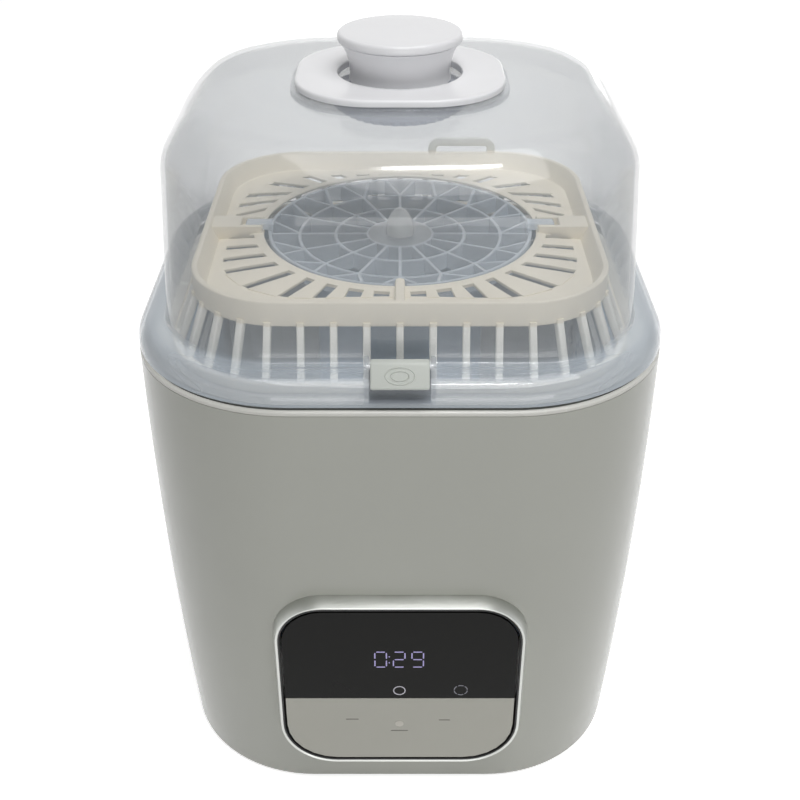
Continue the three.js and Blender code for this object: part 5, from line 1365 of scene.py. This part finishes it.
def polar(radius, degrees, z):
    angle = math.radians(degrees)
    return radius * math.cos(angle), radius * math.sin(angle), z


def fin(start, end):
    return straight_bar(start, end, FIN_HALF_WIDTH, FIN_HEIGHT / 2, FIN_ROUND)


for i in range(SPOKES):
    degrees = 360 * i / SPOKES
    rack_shapes.append(fin(polar(SPOKE_START, degrees, fin_z), polar(SPOKE_END, degrees, fin_z)))
    for lean in (-FORK_DEGREES, FORK_DEGREES):
        fork_end = polar(FORK_END, degrees + lean, fin_z + OUTER_RISE)
        rack_shapes.append(fin(polar(FORK_START, degrees, fin_z), fork_end))
for side in (-1, 1):
    rack_shapes.append(side_bar(side, EAR_START, EAR_END, CROSSBAR_Y, EAR_LOW_Z, EAR_TOP_Z, EAR_HALF_WIDTH,
                                EAR_ROUND))
    rack_shapes.append(side_bar(side, ROOT_START, ROOT_END, CROSSBAR_Y, ROOT_LOW_Z, EAR_TOP_Z, EAR_HALF_WIDTH,
                                ROOT_ROUND))
make_piece("rack", rack_shapes, "rack", clear, ["clear_rack"])

# %% [markdown]
# # Lamps
# The object stands under a broad soft lamp, as in a product photograph. The lamp is large so that its
# mirror image in the glossy walls is soft. A slim lamp above draws the bright line on the dome's top edge,
# and two weak low ones lighten the foot, one in front and one behind.

# %% Lamps
MIDDLE = (0, 0, 0.2)
LAMPS = (
    ("ceiling lamp", (0.26, -0.42, 1.68), MIDDLE, 1.3, 1.3, 14.4),
    ("low front fill", (0.15, -1.1, 0.14), (0, 0, 0.03), 1, 0.26, 1.9),
    ("dome strip", (0.137, -0.55, 1.45), MIDDLE, 0.35, 0.06, 2.2),
    ("rear fill", (0.15, 1.5, 0.22), (0, 0, 0.12), 0.9, 0.24, 1.4),
)
for name, at, look_at, width, height, power_watts in LAMPS:
    data = bpy.data.lights.new(name, "AREA")
    data.shape = "RECTANGLE"
    data.size, data.size_y = width, height
    data.energy = power_watts
    lamp = add_object(name, data)
    lamp.location = at
    lamp.rotation_euler = (Vector(look_at) - Vector(at)).to_track_quat("-Z", "Y").to_euler()
print("lamps:", len(bpy.data.lights))

# %% [markdown]
# # The white room and the sheet
# The photograph's background is white. That white must not come from more light on the object, so the room
# and the sheet are bright only to rays that show them: the camera's, mirrored ones and those through glass.
# For all other rays the room is dim. The sheet keeps the object's soft shadow.

# %% White room and sheet
ROOM_LIGHT, ROOM_SEEN = 0.2, 1
SHEET_REACH, SHEET_WHITE, SHEET_ROUGHNESS, SHEET_GLOW = 4, 0.86, 0.9, 0.72
WHITE = (1, 1, 1, 1)


def seen_directly(tree):
    """1 for rays that show the surroundings: the camera's, mirrored ones and those through glass. Else 0."""
    rays = tree.nodes.new("ShaderNodeLightPath")
    either = rays.outputs["Is Camera Ray"]
    for kind in ("Is Glossy Ray", "Is Transmission Ray"):
        larger = tree.nodes.new("ShaderNodeMath")
        larger.operation = "MAXIMUM"
        tree.links.new(either, larger.inputs[0])
        tree.links.new(rays.outputs[kind], larger.inputs[1])
        either = larger.outputs["Value"]
    return either


world = bpy.data.worlds.new("white room")
bpy.context.scene.world = world
world.use_nodes = True
tree = world.node_tree
background = tree.nodes["Background"]
background.inputs["Color"].default_value = WHITE
tree.links.new(remap(tree, seen_directly(tree), ROOM_LIGHT, ROOM_SEEN), background.inputs["Strength"])

sheet = bpy.data.materials.new("white sheet")
sheet.use_nodes = True
tree = sheet.node_tree
sheet_shader = shader_of(sheet)
sheet_shader.inputs["Base Color"].default_value = (SHEET_WHITE, SHEET_WHITE, SHEET_WHITE, 1)
sheet_shader.inputs["Roughness"].default_value = SHEET_ROUGHNESS
sheet_shader.inputs["Emission Color"].default_value = WHITE
tree.links.new(remap(tree, seen_directly(tree), 0, SHEET_GLOW), sheet_shader.inputs["Emission Strength"])

floor_mesh = bpy.data.meshes.new("floor")
floor_corners = [(x * SHEET_REACH, y * SHEET_REACH, 0) for x, y in ((-1, -1), (1, -1), (1, 1), (-1, 1))]
floor_mesh.from_pydata(floor_corners, [], [(0, 1, 2, 3)])
floor_mesh.materials.append(sheet)
add_object("floor", floor_mesh)
bpy.context.scene.view_settings.view_transform = "Standard"
print("the sheet is", 2 * SHEET_REACH, "m wide")

# %% [markdown]
# # Finishes for the CAD pieces that stay
# The pieces inside the base already have their right shapes, so they keep their CAD meshes and only change
# material. The record names a material slot for each node, and one table says which finish each slot takes.
# Two nodes look different from the rest of their slot and are named one by one; the basket's grey in place of
# its cream is painted shade under the tray.

# %% Dress the CAD nodes
SLOT_FINISH = {
    "casing": casing_grey, "light_frame": rim_grey, "cream": cream, "tub_grey": tub_blue, "clear": clear,
    "frosted": frosted, "white": knob_white, "silver": silver, "dark_glass": dark_glass,
    "grey_glass": grey_glass, "latch_grey": latch_grey, "steel": steel, "rubber": rubber,
    "silicone": silicone, "board": board_green, "dark_plastic": dark_plastic, "brass": brass,
    "filter_white": paper,
}
NODE_FINISH = {"bottle_basket": basket_painted_shade, "knob_boss": boss_clear}
node_slots = {row["node"]: row["material_slot"] for row in frame["record"]["subparts"]}
for node, piece in frame["nodes"].items():
    finish = NODE_FINISH.get(node, SLOT_FINISH[node_slots[node]])
    piece.data.materials.clear()
    piece.data.materials.append(finish)
print("dressed", len(frame["nodes"]), "CAD nodes")
